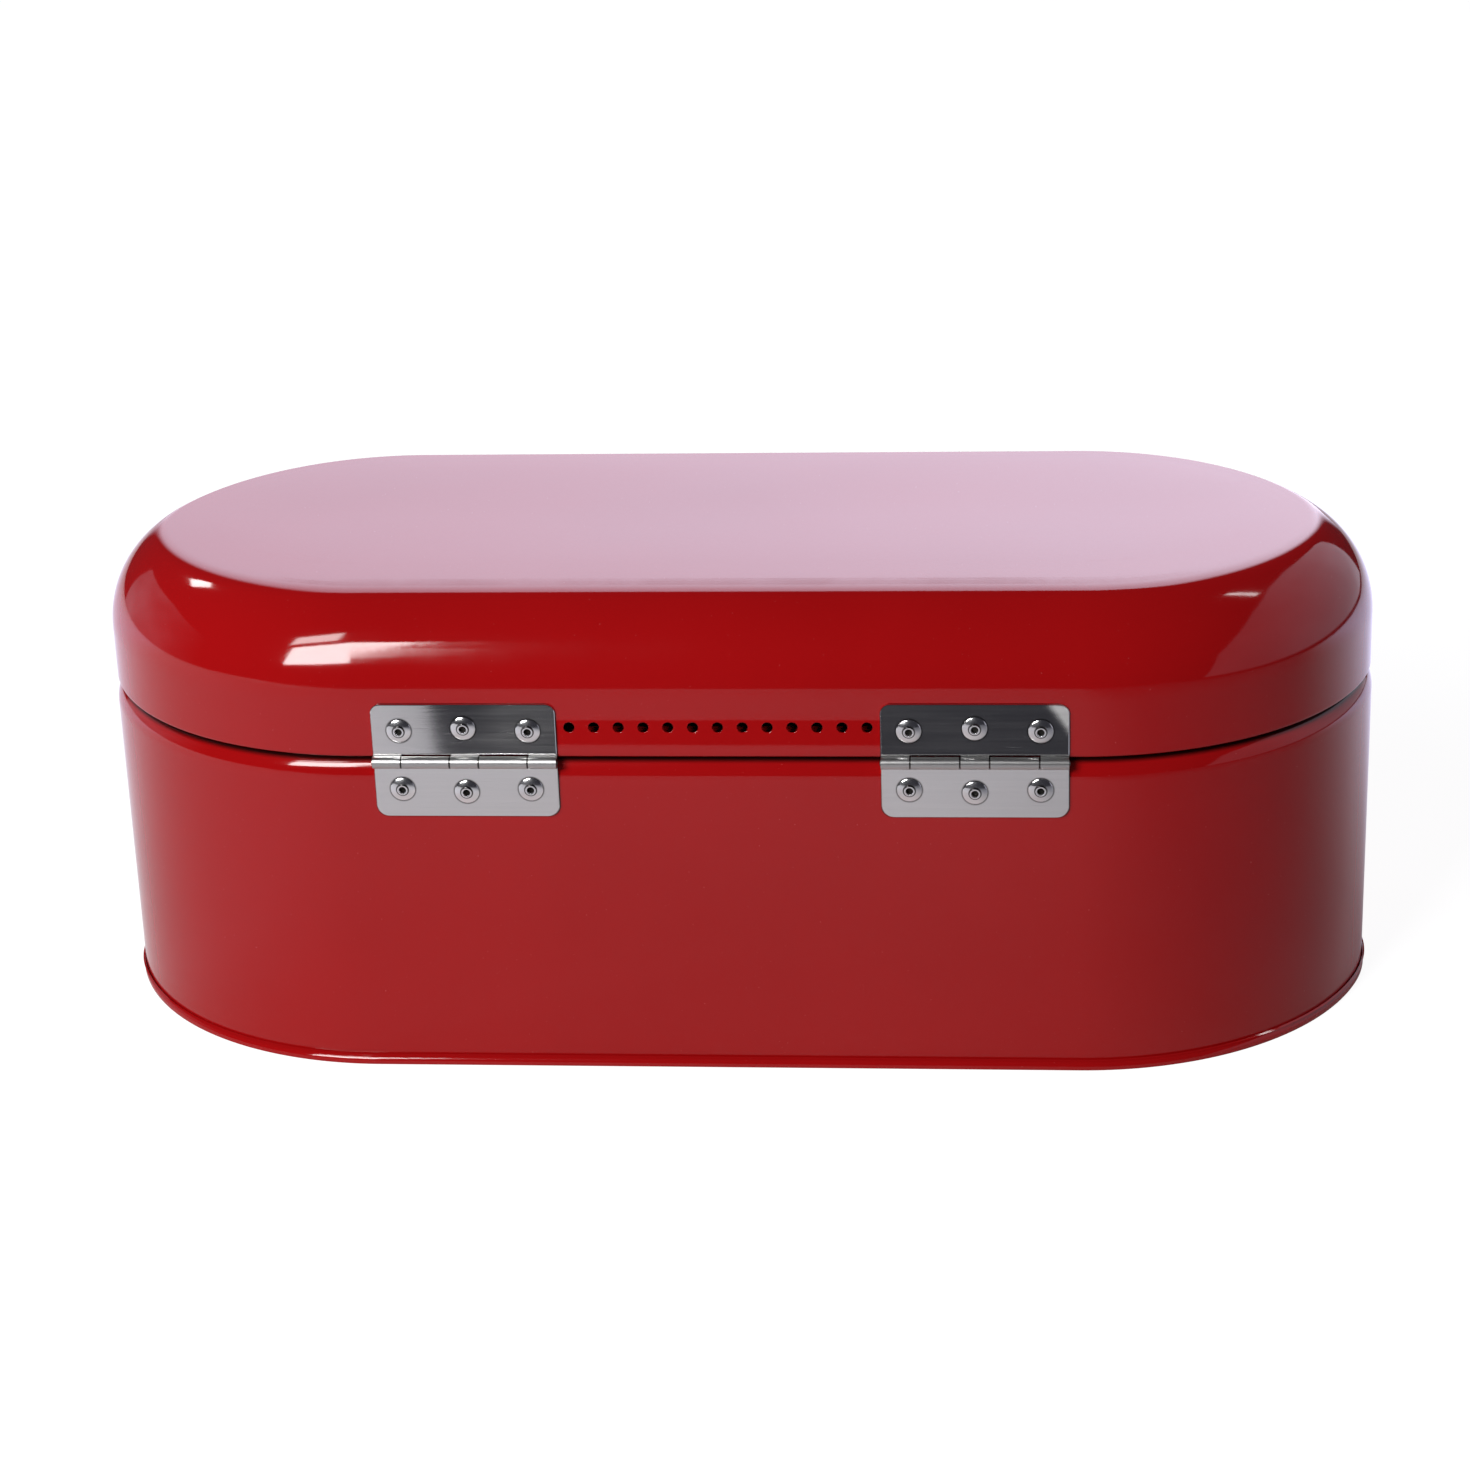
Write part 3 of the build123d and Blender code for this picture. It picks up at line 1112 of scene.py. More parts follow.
class RepeatTree(Graph):
    """A geometry node tree with named inputs, which works on the mesh that carries it."""

    def __init__(self, name: str) -> None:
        """Make an empty tree with geometry in and out.

        Args:
            name: the tree's name.
        """
        super().__init__(bpy.data.node_groups.new(name, "GeometryNodeTree"))
        face = self.tree.interface
        face.new_socket("Geometry", in_out="INPUT", socket_type="NodeSocketGeometry")
        face.new_socket("Geometry", in_out="OUTPUT", socket_type="NodeSocketGeometry")
        self.values: dict[str, Any] = {}
        self.keys: dict[str, str] = {}
        self._kinds: dict[type, str] = {
            int: "NodeSocketInt",
            float: "NodeSocketFloat",
            tuple: "NodeSocketVector",
            bpy.types.Material: "NodeSocketMaterial",
        }

    def declare(self, **values: Any) -> None:
        """Add the tree's named inputs and remember their values, then make the input node.

        Args:
            **values: each input's value, by name.
        """
        for name, value in values.items():
            socket = self.tree.interface.new_socket(
                name, in_out="INPUT", socket_type=self._kinds[type(value)]
            )
            self.values[name] = value
            self.keys[name] = socket.identifier
        self.entry = self.node("NodeGroupInput")

    def given(self, name: str) -> Wire:
        """The wire of a named input."""
        return self.entry.out(name)

    def line(self, start: Wire) -> Wire:
        """The points of a row along X, by the tree's own count and pitch.

        Args:
            start: the first point.

        Returns:
            The points.
        """
        offset = self.node("ShaderNodeCombineXYZ", {}, {"X": self.given("pitch")})
        return self.node(
            "GeometryNodeMeshLine",
            {"mode": "OFFSET"},
            {"Count": self.given("count"), "Start Location": start, "Offset": offset},
        )

    def circle(self, sides: int, radius: Wire) -> Wire:
        """A circle as a curve."""
        inputs = {"Resolution": sides, "Radius": radius}
        return self.node("GeometryNodeCurvePrimitiveCircle", {}, inputs)

    def random(self, low: Any, high: Any, seed: Wire) -> Wire:
        """A random value at each point.

        Args:
            low: the least value.
            high: the greatest value.
            seed: the fixed seed.

        Returns:
            The value.
        """
        return self.node(
            "FunctionNodeRandomValue",
            {"data_type": "FLOAT"},
            {"Min_001": low, "Max_001": high, "Seed": seed},
            output=1,
        )

    def instances(self, points: Wire, shape: Wire, turn: Any = (0.0, 0.0, 0.0)) -> Wire:
        """A shape on each point, as real geometry.

        Args:
            points: where.
            shape: what.
            turn: each copy's rotation.

        Returns:
            The realised copies.
        """
        placed = self.node(
            "GeometryNodeInstanceOnPoints",
            {},
            {"Points": points, "Instance": shape, "Rotation": turn},
        )
        return self.node("GeometryNodeRealizeInstances", {}, {"Geometry": placed})

    def close(self, result: Wire) -> None:
        """End the tree with its material and the output node.

        Args:
            result: the finished geometry.
        """
        dressed = self.node(
            "GeometryNodeSetMaterial", {}, {"Geometry": result, "Material": self.given("material")}
        )
        self.node("NodeGroupOutput", {}, {"Geometry": dressed})

    def apply(self, host: bpy.types.Object) -> None:
        """Run the tree on a host and keep the result as the host's own plain mesh.

        Args:
            host: the object whose mesh the tree works on.
        """
        modifier = host.modifiers.new(self.tree.name, "NODES")
        modifier.node_group = self.tree
        for name, value in self.values.items():
            modifier[self.keys[name]] = value
        evaluated = host.evaluated_get(bpy.context.evaluated_depsgraph_get())
        plain = bpy.data.meshes.new_from_object(evaluated)
        host.modifiers.remove(modifier)
        host.data = plain
        smooth(host)


@dataclass(frozen=True)
class VentRow:
    """The row of vent holes in the back of the lid, each with its enamel drawn round the edge."""

    middle: Vector
    sheet: float
    count: int = 13
    pitch: float = 0.008
    diameter: float = 0.0035
    bead: float = 0.00036
    cutter_depth: float = 0.004
    sides: int = 40
    bead_sides: int = 12

    def punch(self, lid: bpy.types.Object, material: bpy.types.Material) -> None:
        """Punch the holes in the lid's mesh.

        Args:
            lid: the lid's object.
            material: the enamel.
        """
        tree = RepeatTree("vent_row")
        start = self.middle - Vector((self.pitch * (self.count - 1) / 2, self.sheet / 2, 0.0))
        tree.declare(
            count=self.count,
            pitch=self.pitch,
            start=tuple(start),
            hole_radius=self.diameter / 2 + self.bead,
            bead_radius=self.bead,
            material=material,
        )
        row = tree.line(tree.given("start"))
        quarter = (math.pi / 2, 0.0, 0.0)
        cutter = tree.node(
            "GeometryNodeMeshCylinder",
            {},
            {
                "Vertices": self.sides,
                "Radius": tree.given("hole_radius"),
                "Depth": self.cutter_depth,
            },
        )
        cutters = tree.instances(row, cutter, quarter)
        holed = tree.node(
            "GeometryNodeMeshBoolean",
            {"operation": "DIFFERENCE", "solver": "EXACT"},
            {"Mesh 1": tree.given("Geometry"), "Mesh 2": cutters},
        )
        edge = tree.circle(self.sides, tree.given("hole_radius"))
        roll = tree.circle(self.bead_sides, tree.given("bead_radius"))
        ring = tree.node("GeometryNodeCurveToMesh", {}, {"Curve": edge, "Profile Curve": roll})
        rings = tree.instances(row, ring, quarter)
        tree.close(tree.node("GeometryNodeJoinGeometry", {}, {"Geometry": [holed, rings]}))
        tree.apply(lid)


@dataclass(frozen=True)
class BlindRivet:
    """A domed blind rivet as set, its axis along Y and its head outwards at +Y."""

    shank_radius: float = 0.002
    head_radius: float = 0.004
    head_height: float = 0.00115
    rim: float = 0.00025
    collar_radius: float = 0.00178
    collar_height: float = 0.0002
    groove_width: float = 0.00032
    groove_depth: float = 0.00045
    bore_radius: float = 0.00115
    edge: float = 0.00008
    bulb_radius: float = 0.0029
    bulb_length: float = 0.003
    bulb_taper: float = 0.0008
    grip: float = 0.00165
    dome_steps: int = 12
    sides: int = 56

    def profile(self) -> list[Point2]:
        """The closed outline of half a rivet.

        Returns:
            Each point's radius and height above the seat.
        """
        rise = self.head_height - self.rim
        ball = (self.head_radius**2 + rise**2) / (2 * rise)
        collar_top = self.head_height + self.collar_height
        blind_end = -self.grip - self.bulb_length
        points = [
            (self.bore_radius, blind_end),
            (self.bore_radius, collar_top - self.edge * 2),
            (self.bore_radius + self.edge, collar_top - self.edge / 2),
            (self.bore_radius + self.edge * 3, collar_top),
            (self.collar_radius - self.edge * 2, collar_top),
            (self.collar_radius - self.edge / 2, collar_top - self.edge / 2),
            (self.collar_radius, self.head_height - self.groove_depth),
            (self.collar_radius + self.groove_width, self.head_height - self.groove_depth),
        ]
        inner = self.collar_radius + self.groove_width
        for i in range(self.dome_steps + 1):
            radius = inner + (self.head_radius - inner) * i / self.dome_steps
            drop = ball - math.sqrt(ball**2 - radius**2)
            points.append((radius - self.edge * (i == self.dome_steps), self.head_height - drop))
        points += [
            (self.head_radius, self.rim - self.edge),
            (self.head_radius, self.edge),
            (self.head_radius - self.edge, 0.0),
            (self.shank_radius, 0.0),
            (self.shank_radius, -self.grip),
            (self.bulb_radius - self.edge, -self.grip - self.bulb_taper + self.edge),
            (self.bulb_radius, -self.grip - self.bulb_taper - self.edge),
            (self.bulb_radius, blind_end + self.bulb_taper + self.edge),
            (self.bulb_radius - self.edge, blind_end + self.bulb_taper - self.edge),
            (self.shank_radius, blind_end),
        ]
        return points

    def host(self, name: str) -> bpy.types.Object:
        """One rivet at the origin, which a row copies.

        Args:
            name: the object's name.

        Returns:
            The object.
        """
        mesh = bmesh.new()
        rows = []
        for i in range(self.sides):
            angle = 2 * math.pi * i / self.sides
            rows.append(
                [
                    mesh.verts.new((r * math.cos(angle), h, r * math.sin(angle)))
                    for r, h in self.profile()
                ]
            )
        skin(mesh, rows, wrap=True)
        bmesh.ops.recalc_face_normals(mesh, faces=mesh.faces)
        return new_object(name, mesh)


@dataclass(frozen=True)
class RivetRow:
    """The three rivets of one hinge leaf, the middle one further from the barrel."""

    middle: Vector
    away: int
    pitch: float = 0.021
    stagger: float = 0.0009
    count: int = 3
    tilt: float = math.radians(1.6)
    seed: int = 4

    def build(self, name: str, material: bpy.types.Material) -> bpy.types.Object:
        """Set a row of rivets.

        Args:
            name: the piece's name.
            material: the rivets' metal.

        Returns:
            The piece.
        """
        host = BlindRivet().host(name)
        tree = RepeatTree("rivet_row")
        tree.declare(
            count=self.count,
            pitch=self.pitch,
            stagger=self.stagger * self.away,
            middle=tuple(self.middle),
            tilt=self.tilt,
            seed=self.seed,
            material=material,
        )
        line = tree.line(tree.given("middle"))
        last = tree.given("count") - 1.0
        from_middle = tree.node("GeometryNodeInputIndex") - last / 2.0
        inner = 1.0 - from_middle * from_middle
        shift = tree.node(
            "ShaderNodeCombineXYZ",
            {},
            {"X": last * tree.given("pitch") / -2.0, "Z": inner * tree.given("stagger")},
        )
        points = tree.node("GeometryNodeSetPosition", {}, {"Geometry": line, "Offset": shift})
        tilt, seed = tree.given("tilt"), tree.given("seed")
        lean = tree.random(tilt * -1.0, tilt, seed)
        spin = tree.random(0.0, 2 * math.pi, seed + 1.0)
        turn = tree.node("ShaderNodeCombineXYZ", {}, {"X": lean, "Y": spin})
        tree.close(tree.instances(points, tree.given("Geometry"), turn))
        tree.apply(host)
        return host


# The box


@dataclass
class Lid:
    """The domed lid: its shell with the turned-in flange, and the vent holes."""

    sheet: float = 0.0006
    dome_radius: float = 0.0354
    edge_bend: float = 0.0012
    flange_width: float = 0.006
    hem_gap: float = 0.0002
    hem_length: float = 0.0024
    vent_rise: float = 0.0104
    dish: float = 0.00025
    flat_until: float = 21.0
    round_from: float = 34.0
    dent_tilt: float = 9.5
    dent_reach: Point2 = (0.060, 0.104)
    dent_low: Point2 = (0.0025, 0.0045)
    dent_high: Point2 = (0.0128, 0.0150)
    dome_step: float = 2.0
    fold_step: float = 20.0
    skirt_support: float = 0.0005
    skirt_parts: int = 14
    own_face: float = 0.7
    node: str = "lid_shell"

    def build(self, finishes: Finishes, row_x: float) -> bpy.types.Object:
        """Form the shell, punch it and put it on its body.

        Args:
            finishes: the box's materials.
            row_x: where the middle of the hinges and vents is along X.

        Returns:
            The lid's piece.
        """
        low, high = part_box(self.node)
        outline = PlanOutline(half_length=high.x, half_width=high.y)
        half_sheet = self.sheet / 2
        skirt = high.z - self.dome_radius - low.z - self.edge_bend
        fold = self.hem_gap / 2 + self.sheet
        cut = SheetCut((-self.dome_radius, high.z - half_sheet), 0.0, self.sheet)
        cut.bend(self.dome_radius, -90.0, step=self.dome_step)
        cut.line(skirt, support=self.skirt_support, parts=self.skirt_parts)
        cut.bend(self.edge_bend, -90.0).line(self.flange_width - self.edge_bend - fold)
        cut.bend(fold, -180.0, step=self.fold_step).line(self.hem_length)
        shell = FormedSheet(
            "lid_shell_enamelled", outline, cut, panelled=True, dish=self.dish
        ).build()
        vents = VentRow(Vector((row_x, high.y, low.z + self.vent_rise)), self.sheet)
        vents.punch(shell, finishes.enamel)
        self._shade(shell, outline, low.z, high.z, row_x)
        dress(shell, finishes.enamel)
        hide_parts(self.node)
        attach(shell, Half.LID.value)
        return shell

    def _shade(
        self,
        shell: bpy.types.Object,
        outline: PlanOutline,
        low_z: float,
        high_z: float,
        row_x: float,
    ) -> None:
        """Turn the shading normals of the crown and of the skirt, with no change to the shape.

        The real crown stays flat further out, and its skirt is dented between the hinges.

        Args:
            shell: the lid's object.
            outline: its plan outline.
            low_z: height of its lower edge.
            high_z: height of its top.
            row_x: where the middle of the hinges is along X.
        """
        centre_z = high_z - self.dome_radius
        wanted = {}
        for vertex in shell.data.vertices:
            if vertex.co.z > centre_z:
                normal = self._crown_normal(vertex.co, outline, centre_z)
            else:
                normal = self._dent_normal(vertex.co, outline, low_z, row_x)
            if normal is not None:
                wanted[vertex.index] = normal
        bend_normals(shell, wanted, nearest=self.own_face)

    def _crown_normal(
        self, place: Vector, outline: PlanOutline, centre_z: float
    ) -> Optional[Vector]:
        """The normal of the flatter crown at a point.

        Args:
            place: the point.
            outline: the lid's plan outline.
            centre_z: height of the middle of the dome's arc.

        Returns:
            The normal, or None where the point isn't on the arc's outer face.
        """
        outward, inset = outline.nearest(place.x, place.y)
        lean = (self.dome_radius - inset) / self.dome_radius
        if not 0.0 < lean < 1.0:
            return None
        tilt = math.asin(lean)
        rise = self.dome_radius * math.cos(tilt)
        if abs(place.z - centre_z - rise) >= self.sheet / 3:
            return None
        eased = tilt * ease(math.degrees(tilt), self.flat_until, self.round_from)
        return outward * math.sin(eased) + Vector((0.0, 0.0, math.cos(eased)))

    def _dent_normal(
        self, place: Vector, outline: PlanOutline, low_z: float, row_x: float
    ) -> Optional[Vector]:
        """The normal of the dented skirt at a point.

        Args:
            place: the point.
            outline: the lid's plan outline.
            low_z: height of the lid's lower edge.
            row_x: where the middle of the hinges is along X.

        Returns:
            The normal, or None where the point is off the dent.
        """
        if place.y <= outline.half_width - self.sheet / 3:
            return None
        side = 1.0 - ease(abs(place.x - row_x), *self.dent_reach)
        rise = place.z - low_z
        level = ease(rise, *self.dent_low) * (1.0 - ease(rise, *self.dent_high))
        tilt = math.radians(self.dent_tilt) * side * level
        return Vector((0.0, math.cos(tilt), math.sin(tilt))) if tilt > 0.0 else None


@dataclass
class Base:
    """The base: the wall with its rounded shoulder and neck, and the floor that grips its foot."""

    sheet: float = 0.0006
    low_shoulder: float = 0.012
    low_turn: float = 25.0
    top_shoulder: float = 0.0053
    ledge: float = 0.0003
    neck_bend: float = 0.0008
    neck_height: float = 0.0056
    neck_roll: float = 0.0028
    neck_roll_turn: float = 180.0
    seam_clearance: float = 0.00005
    seam_width: float = 0.0012
    seam_height: float = 0.004
    seam_bend: float = 0.0007
    flare_radius: float = 0.0015
    flare_turn: float = 40.0
    panel_bend: float = 0.0012
    panel_rim: float = 0.001
    panel_height: float = 0.004
    bead_lean: Point2 = (-8.0, 52.0)
    foot_support: float = 0.0006
    low_step: float = 3.5
    top_step: float = 6.0
    roll_step: float = 14.0
    seam_step: float = 15.0
    own_face: float = -0.1

    def outline(self) -> PlanOutline:
        """The plan outline of the wall's outer face."""
        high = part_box("base_wall")[1]
        return PlanOutline(half_length=high.x, half_width=high.y)

    def wall(self, material: bpy.types.Material) -> bpy.types.Object:
        """The wall.

        Args:
            material: the enamel.

        Returns:
            The wall's piece.
        """
        low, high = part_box("base_wall")
        rise = math.sin(math.radians(self.low_turn))
        shoulder = self.low_shoulder * rise + self.top_shoulder * (1 - rise)
        roll_outer = self.neck_roll / 2
        above = self.neck_bend + self.sheet + self.neck_height + roll_outer
        ledge_z = high.z - above
        straight = ledge_z + self.sheet - shoulder - low.z
        cut = SheetCut((-self.sheet / 2, low.z), 90.0, self.sheet)
        cut.line(straight, support=self.foot_support)
        cut.bend(self.low_shoulder, self.low_turn, step=self.low_step)
        cut.bend(self.top_shoulder, 90.0 - self.low_turn, step=self.top_step).line(self.ledge)
        cut.bend(self.neck_bend + self.sheet, -90.0).line(self.neck_height)
        cut.bend(roll_outer, self.neck_roll_turn, step=self.roll_step)
        made = FormedSheet("base_wall_enamelled", self.outline(), cut).build()
        return self._seat(made, material, "base_wall")

    def floor(self, material: bpy.types.Material) -> bpy.types.Object:
        """The floor.

        Args:
            material: the enamel.

        Returns:
            The floor's piece.
        """
        half = self.sheet / 2
        outer_x = self.seam_clearance + half
        inner_x = self.seam_clearance - self.seam_width - half
        start = (inner_x - self.panel_bend + half - self.panel_rim, self.panel_height - half)
        sole = outer_x - inner_x - 2 * (self.seam_bend - half)
        flare = self.flare_radius * math.sin(math.radians(self.flare_turn))
        cut = SheetCut(start, 0.0, self.sheet, step=self.seam_step)
        cut.line(self.panel_rim).bend(self.panel_bend, -90.0)
        cut.line(self.panel_height - self.panel_bend - self.seam_bend)
        cut.bend(self.seam_bend, 90.0).line(sole).bend(self.seam_bend, 90.0)
        cut.line(self.seam_height - flare - self.seam_bend)
        cut.bend(self.flare_radius + half, -self.flare_turn)
        made = FormedSheet("base_floor_enamelled", self.outline(), cut, panelled=True).build()
        self._shade_bead(made)
        return self._seat(made, material, "base_floor")

    def _shade_bead(self, floor: bpy.types.Object) -> None:
        """Shade the seam round the foot as a rolled bead.

        Args:
            floor: the floor's object.
        """
        outline = self.outline()
        low, high = self.bead_lean
        bead = {}
        for vertex in floor.data.vertices:
            outward, inset = outline.nearest(vertex.co.x, vertex.co.y)
            if inset < -self.sheet / 2:
                share = ease(vertex.co.z, 0.0, self.seam_height)
                lean = math.radians(low + (high - low) * share)
                bead[vertex.index] = outward * math.cos(lean) + Vector((0, 0, math.sin(lean)))
        bend_normals(floor, bead, nearest=self.own_face)

    @staticmethod
    def _seat(
        piece: bpy.types.Object, material: bpy.types.Material, node: str
    ) -> bpy.types.Object:
        """Dress a piece of the base and put it on its body in a node's place.

        Args:
            piece: the piece.
            material: the enamel.
            node: the node that it replaces.

        Returns:
            The same piece.
        """
        dress(piece, material)
        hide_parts(node)
        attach(piece, Half.BASE.value)
        return piece


@dataclass
class Hinge:
    """One hinge with its rivets; the leaves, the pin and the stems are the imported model's own."""

    side: Side
    nodes: dict[str, bpy.types.Object]

    def build(self, finishes: Finishes) -> list[bpy.types.Object]:
        """Dress the leaves, the pin and the stems, and set the rivets.

        Args:
            finishes: the box's materials.

        Returns:
            All the hinge's pieces.
        """
        word = self.side.value
        pin = self.nodes[f"{word}_hinge_pin"]
        dress(pin, finishes.pin)
        pieces = [pin]
        for half in Half:
            leaf = self.nodes[f"{word}_hinge_{half.value}_leaf"]
            dress(leaf, finishes.leaf)
            stems = self.nodes[f"{word}_{half.value}_rivet_stems"]
            dress(stems, finishes.stem)
            pieces += [leaf, stems, self._rivets(half, finishes.rivet)]
        return pieces

    def _rivets(self, half: Half, material: bpy.types.Material) -> bpy.types.Object:
        """Set the three rivets of one leaf.

        Args:
            half: the body that the leaf is on.
            material: the rivets' metal.

        Returns:
            The row of rivets.
        """
        node = f"{self.side.value}_{half.value}_rivets"
        low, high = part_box(node)
        rivet = BlindRivet()
        seat_y = high.y - rivet.head_height - rivet.collar_height
        away = 1 if half is Half.LID else -1
        near = low.z if half is Half.LID else high.z
        middle = Vector(((low.x + high.x) / 2, seat_y, near + away * rivet.head_radius))
        row = RivetRow(middle, away).build(f"{node}_polished", material)
        dress(row, material)
        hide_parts(node)
        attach(row, half.value)
        return row


# The studio


@dataclass(frozen=True)
class PhotoCamera:
    """The camera of the photograph: behind the box, a little above it."""

    frame_pixels: float = 1470.0
    focal_pixels: float = 3505.4
    sensor: float = 36.0
    yaw: float = -0.095
    pitch: float = 0.386
    roll: float = -0.035
    target_height: float = 0.080
    shift_right: float = 0.00186
    shift_down: float = 0.002336
    distance: float = 1.2234
    clip: Point2 = (0.05, 50.0)

    def build(self) -> bpy.types.Object:
        """Make the camera and give it to the scene.

        Returns:
            The camera's object.
        """
        behind = Matrix.Diagonal((-1.0, -1.0, 1.0))
        upright = Matrix(((1.0, 0.0, 0.0), (0.0, 0.0, -1.0), (0.0, 1.0, 0.0)))
        turn = (
            Matrix.Rotation(self.roll, 3, "Z")
            @ Matrix.Rotation(self.pitch, 3, "X")
            @ upright
            @ Matrix.Rotation(self.yaw, 3, "Z")
            @ behind
        )
        target = Vector((0.0, 0.0, self.target_height))
        offset = Vector((self.shift_right, self.shift_down, self.distance))
        place = target - turn.transposed() @ offset
        right, down, ahead = turn[0], turn[1], turn[2]
        data = bpy.data.cameras.new("photo_camera")
        data.sensor_width = self.sensor
        data.lens = self.sensor * self.focal_pixels / self.frame_pixels
        data.clip_start, data.clip_end = self.clip
        camera = bpy.data.objects.new("photo_camera", data)
        columns = Matrix((right, -down, -ahead)).transposed()
        camera.matrix_world = Matrix.Translation(place) @ columns.to_4x4()
        bpy.context.scene.collection.objects.link(camera)
        bpy.context.scene.camera = camera
        return camera


@dataclass(frozen=True)
class Softbox:
    """A rectangular light on a wall of the studio, as seen from the middle of the box."""

    name: str
    wall_turn: float
    wall_distance: float
    along: Point2
    height: Point2
    radiance: float

    def build(self) -> bpy.types.Object:
        """Make the light.

        Returns:
            The light's object.
        """
        width = self.along[1] - self.along[0]
        rise = self.height[1] - self.height[0]
        turn = math.radians(self.wall_turn)
        outward = Vector((-math.sin(turn), math.cos(turn), 0.0))
        sideways = Vector((math.cos(turn), math.sin(turn), 0.0))
        data = bpy.data.lights.new(self.name, "AREA")
        data.shape = "RECTANGLE"
        data.size = width
        data.size_y = rise
        data.energy = self.radiance * math.pi * width * rise
        light = bpy.data.objects.new(self.name, data)
        level = (self.height[0] + self.height[1]) / 2
        middle = outward * self.wall_distance + sideways * (self.along[0] + self.along[1]) / 2
        columns = Matrix((-sideways, Vector((0.0, 0.0, 1.0)), outward)).transposed()
        light.matrix_world = Matrix.Translation(middle + Vector((0, 0, level))) @ columns.to_4x4()
        light.visible_camera = False
        bpy.context.scene.collection.objects.link(light)
        return light


@dataclass(frozen=True)
class Panel:
    """A glowing upright panel of the studio, which the camera doesn't see."""

    name: str
    corners: tuple[Point3, ...]
    glow: float
    fade: Point2
    dimmest: float
    patch: float = 0.5
    colour: Colour = (0.95, 0.94, 1.1)
    clutter: Pattern = Pattern(2.2, detail=2.0)

    def build(self) -> bpy.types.Object:
        """Make the panel.

        Returns:
            The panel's object.
        """
        panel = flat_object(self.name, self.corners)
        graph = MaterialGraph(self.name)
        patches = graph.noise(self.clutter) * self.patch + (1.0 - self.patch / 2)
        share = graph.ramp(graph.axes.out("Y"), *self.fade) * (1.0 - self.dimmest) + self.dimmest
        light = graph.node(
            "ShaderNodeEmission",
            {},
            {"Color": (*self.colour, 1.0), "Strength": patches * share * self.glow},
        )
        graph.node("ShaderNodeOutputMaterial", {}, {"Surface": light})
        panel.data.materials.append(graph.material)
        panel.visible_camera = False
        return panel


def flat_object(name: str, corners: tuple[Point3, ...]) -> bpy.types.Object:
    """A single flat face as an object in the scene.

    Args:
        name: the object's name.
        corners: its corners, in order.

    Returns:
        The object.
    """
    mesh = bmesh.new()
    mesh.faces.new([mesh.verts.new(corner) for corner in corners])
    return new_object(name, mesh, rounded=False)


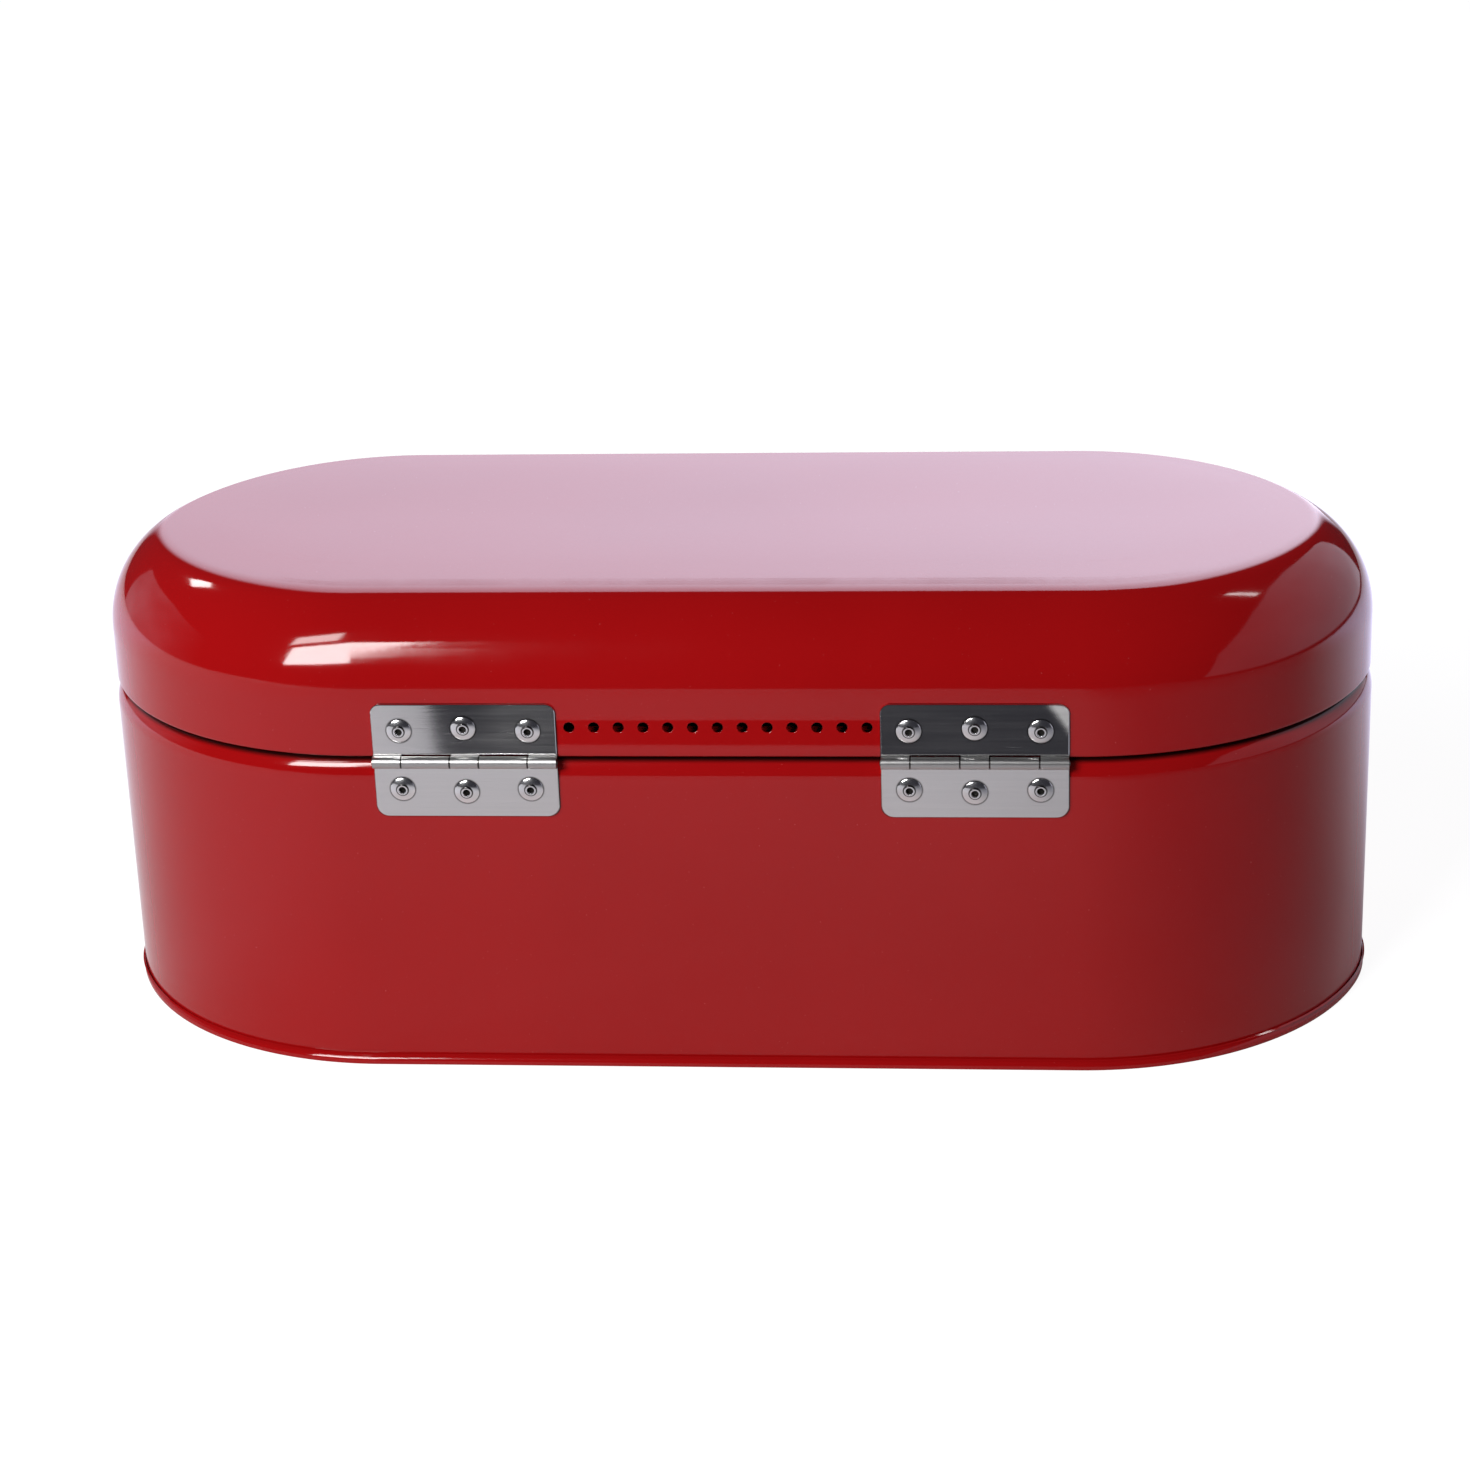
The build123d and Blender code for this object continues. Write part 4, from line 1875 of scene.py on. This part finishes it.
@dataclass
class Studio:
    """A pale floor, a window and two lamps behind the box, and a room with a bright front wall."""

    floor_back: float = 1.42
    floor_front: float = 6.0
    floor_left: float = 1.7
    floor_right: float = 1.0
    floor_white: float = 0.93
    floor_glow: float = 1.1
    near_glow: float = 0.17
    floor_lit: float = 0.17
    floor_roughness: float = 0.5
    paper: Colour = (0.66, 0.66, 0.67)
    # Painted shade on the reflected floor: darker away from the box, and on its right side.
    shaded_paper: Colour = (0.36, 0.36, 0.365)
    shade_y: Point2 = (0.05, 0.75)
    dark_x: Point2 = (-0.03, -0.30)
    dark_share: float = 0.45
    grain: Pattern = Pattern(35.0, detail=4.0)
    grain_colour: Colour = (0.5, 0.5, 0.5)
    grain_share: float = 0.1
    far_y: Point2 = (0.10, -0.35)
    far_x: Point2 = (0.1, -0.35)
    far_left_share: float = 0.35
    end_y: Point2 = (-0.4, -1.2)
    end_drop: float = 0.65
    near_tint: Colour = (1.0, 0.95, 0.95)
    far_tint: Colour = (0.92, 0.92, 1.3)
    right_panel_x: float = -1.2
    left_panel_x: float = 1.5
    window_turn: float = 17.0
    window_distance: float = 1.5
    left_lamp_turn: float = -116.0
    right_lamp_turn: float = 99.0
    lamp_distance: float = 2.0
    room: float = 0.03
    front_wall: float = 2.75
    front_wall_colour: Colour = (0.94, 0.93, 1.15)
    front_wall_turn: float = 4.5
    front_wall_half_turn: float = 20.5
    front_wall_top: float = 52.0
    wall_side_fade: float = 0.03
    wall_top_fade: float = 0.02
    least_level: float = 0.001

    RIGHT_EDGE = (
        (1.05, 0.012),
        (-1.48, 0.012),
        (-1.48, 1.0),
        (-0.70, 1.19),
        (-0.325, 1.15),
        (0.176, 0.92),
        (0.554, 0.65),
        (0.81, 0.45),
        (0.97, 0.12),
    )
    LEFT_EDGE = ((0.6, 0.012), (0.4, 0.6), (-0.3, 0.75), (-1.1, 0.7), (-1.1, 0.012))

    def build(self) -> None:
        """Set up the floor, the panels, the lights and the room."""
        self._floor()
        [panel.build() for panel in self._panels()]
        for softbox in self._softboxes():
            softbox.build()
        self._room()
        view = bpy.context.scene.view_settings
        view.view_transform = "Standard"
        view.look = "None"

    def _floor(self) -> bpy.types.Object:
        """The floor, level with the sole of the box; the camera sees it nearly white.

        Returns:
            The floor's object.
        """
        left, right = self.floor_left, -self.floor_right
        front, back = -self.floor_front, self.floor_back
        floor = flat_object(
            "studio_floor", ((right, front, 0), (left, front, 0), (left, back, 0), (right, back, 0))
        )
        graph = MaterialGraph("studio_floor")
        dark = graph.ramp(graph.axes.out("X"), *self.dark_x)
        glow = self._floor_glow(graph, dark)
        reflected = graph.node(
            "ShaderNodeAddShader", {}, {0: self._floor_paper(graph, dark), 1: glow}
        )
        white = graph.node(
            "ShaderNodeEmission", {}, {"Color": WHITE, "Strength": self.floor_white}
        )
        grey = (self.floor_lit, self.floor_lit, self.floor_lit, 1.0)
        lit = graph.node(
            "ShaderNodeBsdfDiffuse", {}, {"Color": grey, "Roughness": self.floor_roughness}
        )
        bright = graph.node("ShaderNodeAddShader", {}, {0: white, 1: lit})
        graph.close_for_camera(reflected, bright, "ShaderNodeOutputMaterial")
        floor.data.materials.append(graph.material)
        return floor

    def _floor_paper(self, graph: MaterialGraph, dark: Wire) -> Wire:
        """The floor's paper as the box reflects it, with painted shade away from the box and on its
        right.

        Args:
            graph: the floor's graph.
            dark: the mask of the floor's dark right side.

        Returns:
            The shader.
        """
        shaded = graph.ramp(graph.axes.out("Y"), *self.shade_y)
        shade = graph.mix(shaded, self.paper, self.shaded_paper)
        shade = graph.mix(dark * self.dark_share, shade, BLACK)
        shade = graph.mix(graph.noise(self.grain) * self.grain_share, shade, self.grain_colour)
        return graph.node(
            "ShaderNodeBsdfDiffuse", {}, {"Color": shade, "Roughness": self.floor_roughness}
        )

    def _floor_glow(self, graph: MaterialGraph, dark: Wire) -> Wire:
        """The glow of the lit floor in front of the box, as the box reflects it.

        Args:
            graph: the floor's graph.
            dark: the mask of the floor's dark right side.

        Returns:
            The shader.
        """
        x, y = graph.axes.out("X"), graph.axes.out("Y")
        aside = graph.ramp(x, *self.far_x) * (1.0 - self.far_left_share) + self.far_left_share
        end = graph.ramp(y, *self.end_y) * self.end_drop
        far = graph.ramp(y, *self.far_y) * (1.0 - end)
        glow = far * aside * self.floor_glow + (1.0 - dark) * self.near_glow
        tint = graph.mix(far, self.near_tint, self.far_tint)
        return graph.node("ShaderNodeEmission", {}, {"Color": tint, "Strength": glow})

    def _panels(self) -> list[Panel]:
        """The panels that stand to the right and the left of the camera's view.

        Returns:
            The panels, not yet made.
        """
        right = tuple((self.right_panel_x, y, z) for y, z in self.RIGHT_EDGE)
        left = tuple((self.left_panel_x, y, z) for y, z in self.LEFT_EDGE)
        return [
            Panel("right_panel", right, glow=0.95, fade=(0.9, -1.4), dimmest=0.37),
            Panel("left_panel", left, glow=0.45, fade=(0.5, -0.7), dimmest=0.05, patch=1.6),
        ]

    def _softboxes(self) -> list[Softbox]:
        """The window with its fanlight and the curtain beside it, and the two small lamps.

        Returns:
            The lights, not yet made.
        """
        window = (self.window_turn, self.window_distance)
        left = (self.left_lamp_turn, self.lamp_distance)
        right = (self.right_lamp_turn, self.lamp_distance)
        return [
            Softbox("window", *window, along=(0.975, 2.30), height=(0.80, 1.74), radiance=19.5),
            Softbox("fanlight", *window, along=(1.33, 2.50), height=(1.98, 2.60), radiance=12.0),
            Softbox("curtain", *window, along=(0.93, 0.974), height=(0.98, 1.40), radiance=5.0),
            Softbox(
                "curtain_edge", *window, along=(0.885, 0.929), height=(1.05, 1.36), radiance=1.5
            ),
            Softbox("left_lamp", *left, along=(-0.12, 0.12), height=(1.50, 1.88), radiance=15.0),
            Softbox("right_lamp", *right, along=(-0.06, 0.06), height=(1.95, 2.75), radiance=10.0),
        ]

    def _room(self) -> None:
        """The room: dim, with a bright wall in front of the box, and white to the camera."""
        world = bpy.data.worlds.new("studio_room")
        bpy.context.scene.world = world
        world.use_nodes = True
        graph = Graph(world.node_tree)
        way = graph.node(
            "ShaderNodeSeparateXYZ",
            {},
            {0: graph.node("ShaderNodeTexCoord", output="Generated")},
        )
        level = (1.0 - way.out("Z") * way.out("Z")) ** 0.5
        turn = math.radians(self.front_wall_turn)
        ahead = way.out("X") * math.sin(turn) - way.out("Y") * math.cos(turn)
        frontness = ahead / (level + self.least_level)
        edge = math.cos(math.radians(self.front_wall_half_turn))
        top = math.sin(math.radians(self.front_wall_top))
        inside = graph.ramp(frontness, edge - self.wall_side_fade, edge + self.wall_side_fade)
        below = graph.ramp(way.out("Z"), top + self.wall_top_fade, top - self.wall_top_fade)
        wall = inside * below * (1.0 - way.out("X")) * self.front_wall
        glow = graph.node(
            "ShaderNodeBackground",
            {},
            {"Color": (*self.front_wall_colour, 1.0), "Strength": wall + self.room},
        )
        white = graph.node("ShaderNodeBackground", {}, {"Color": WHITE, "Strength": 1.0})
        graph.close_for_camera(glow, white, "ShaderNodeOutputWorld")


def main() -> None:
    """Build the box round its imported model, then the camera and the studio."""
    logging.basicConfig(level=logging.INFO, format="%(name)s: %(message)s")
    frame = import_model()
    PhotoCamera().build()
    Studio().build()
    left_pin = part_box("left_hinge_pin")
    right_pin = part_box("right_hinge_pin")
    row_x = (left_pin[0].x + right_pin[1].x) / 2
    finishes = Finishes(row_x)
    base = Base()
    pieces = [
        Lid().build(finishes, row_x),
        base.wall(finishes.enamel),
        base.floor(finishes.enamel),
    ]
    for side in Side:
        pieces += Hinge(side, frame["nodes"]).build(finishes)
    for piece in pieces:
        log.info("%s: %d faces", piece.name, len(piece.data.polygons))


if __name__ == "__main__":
    main()
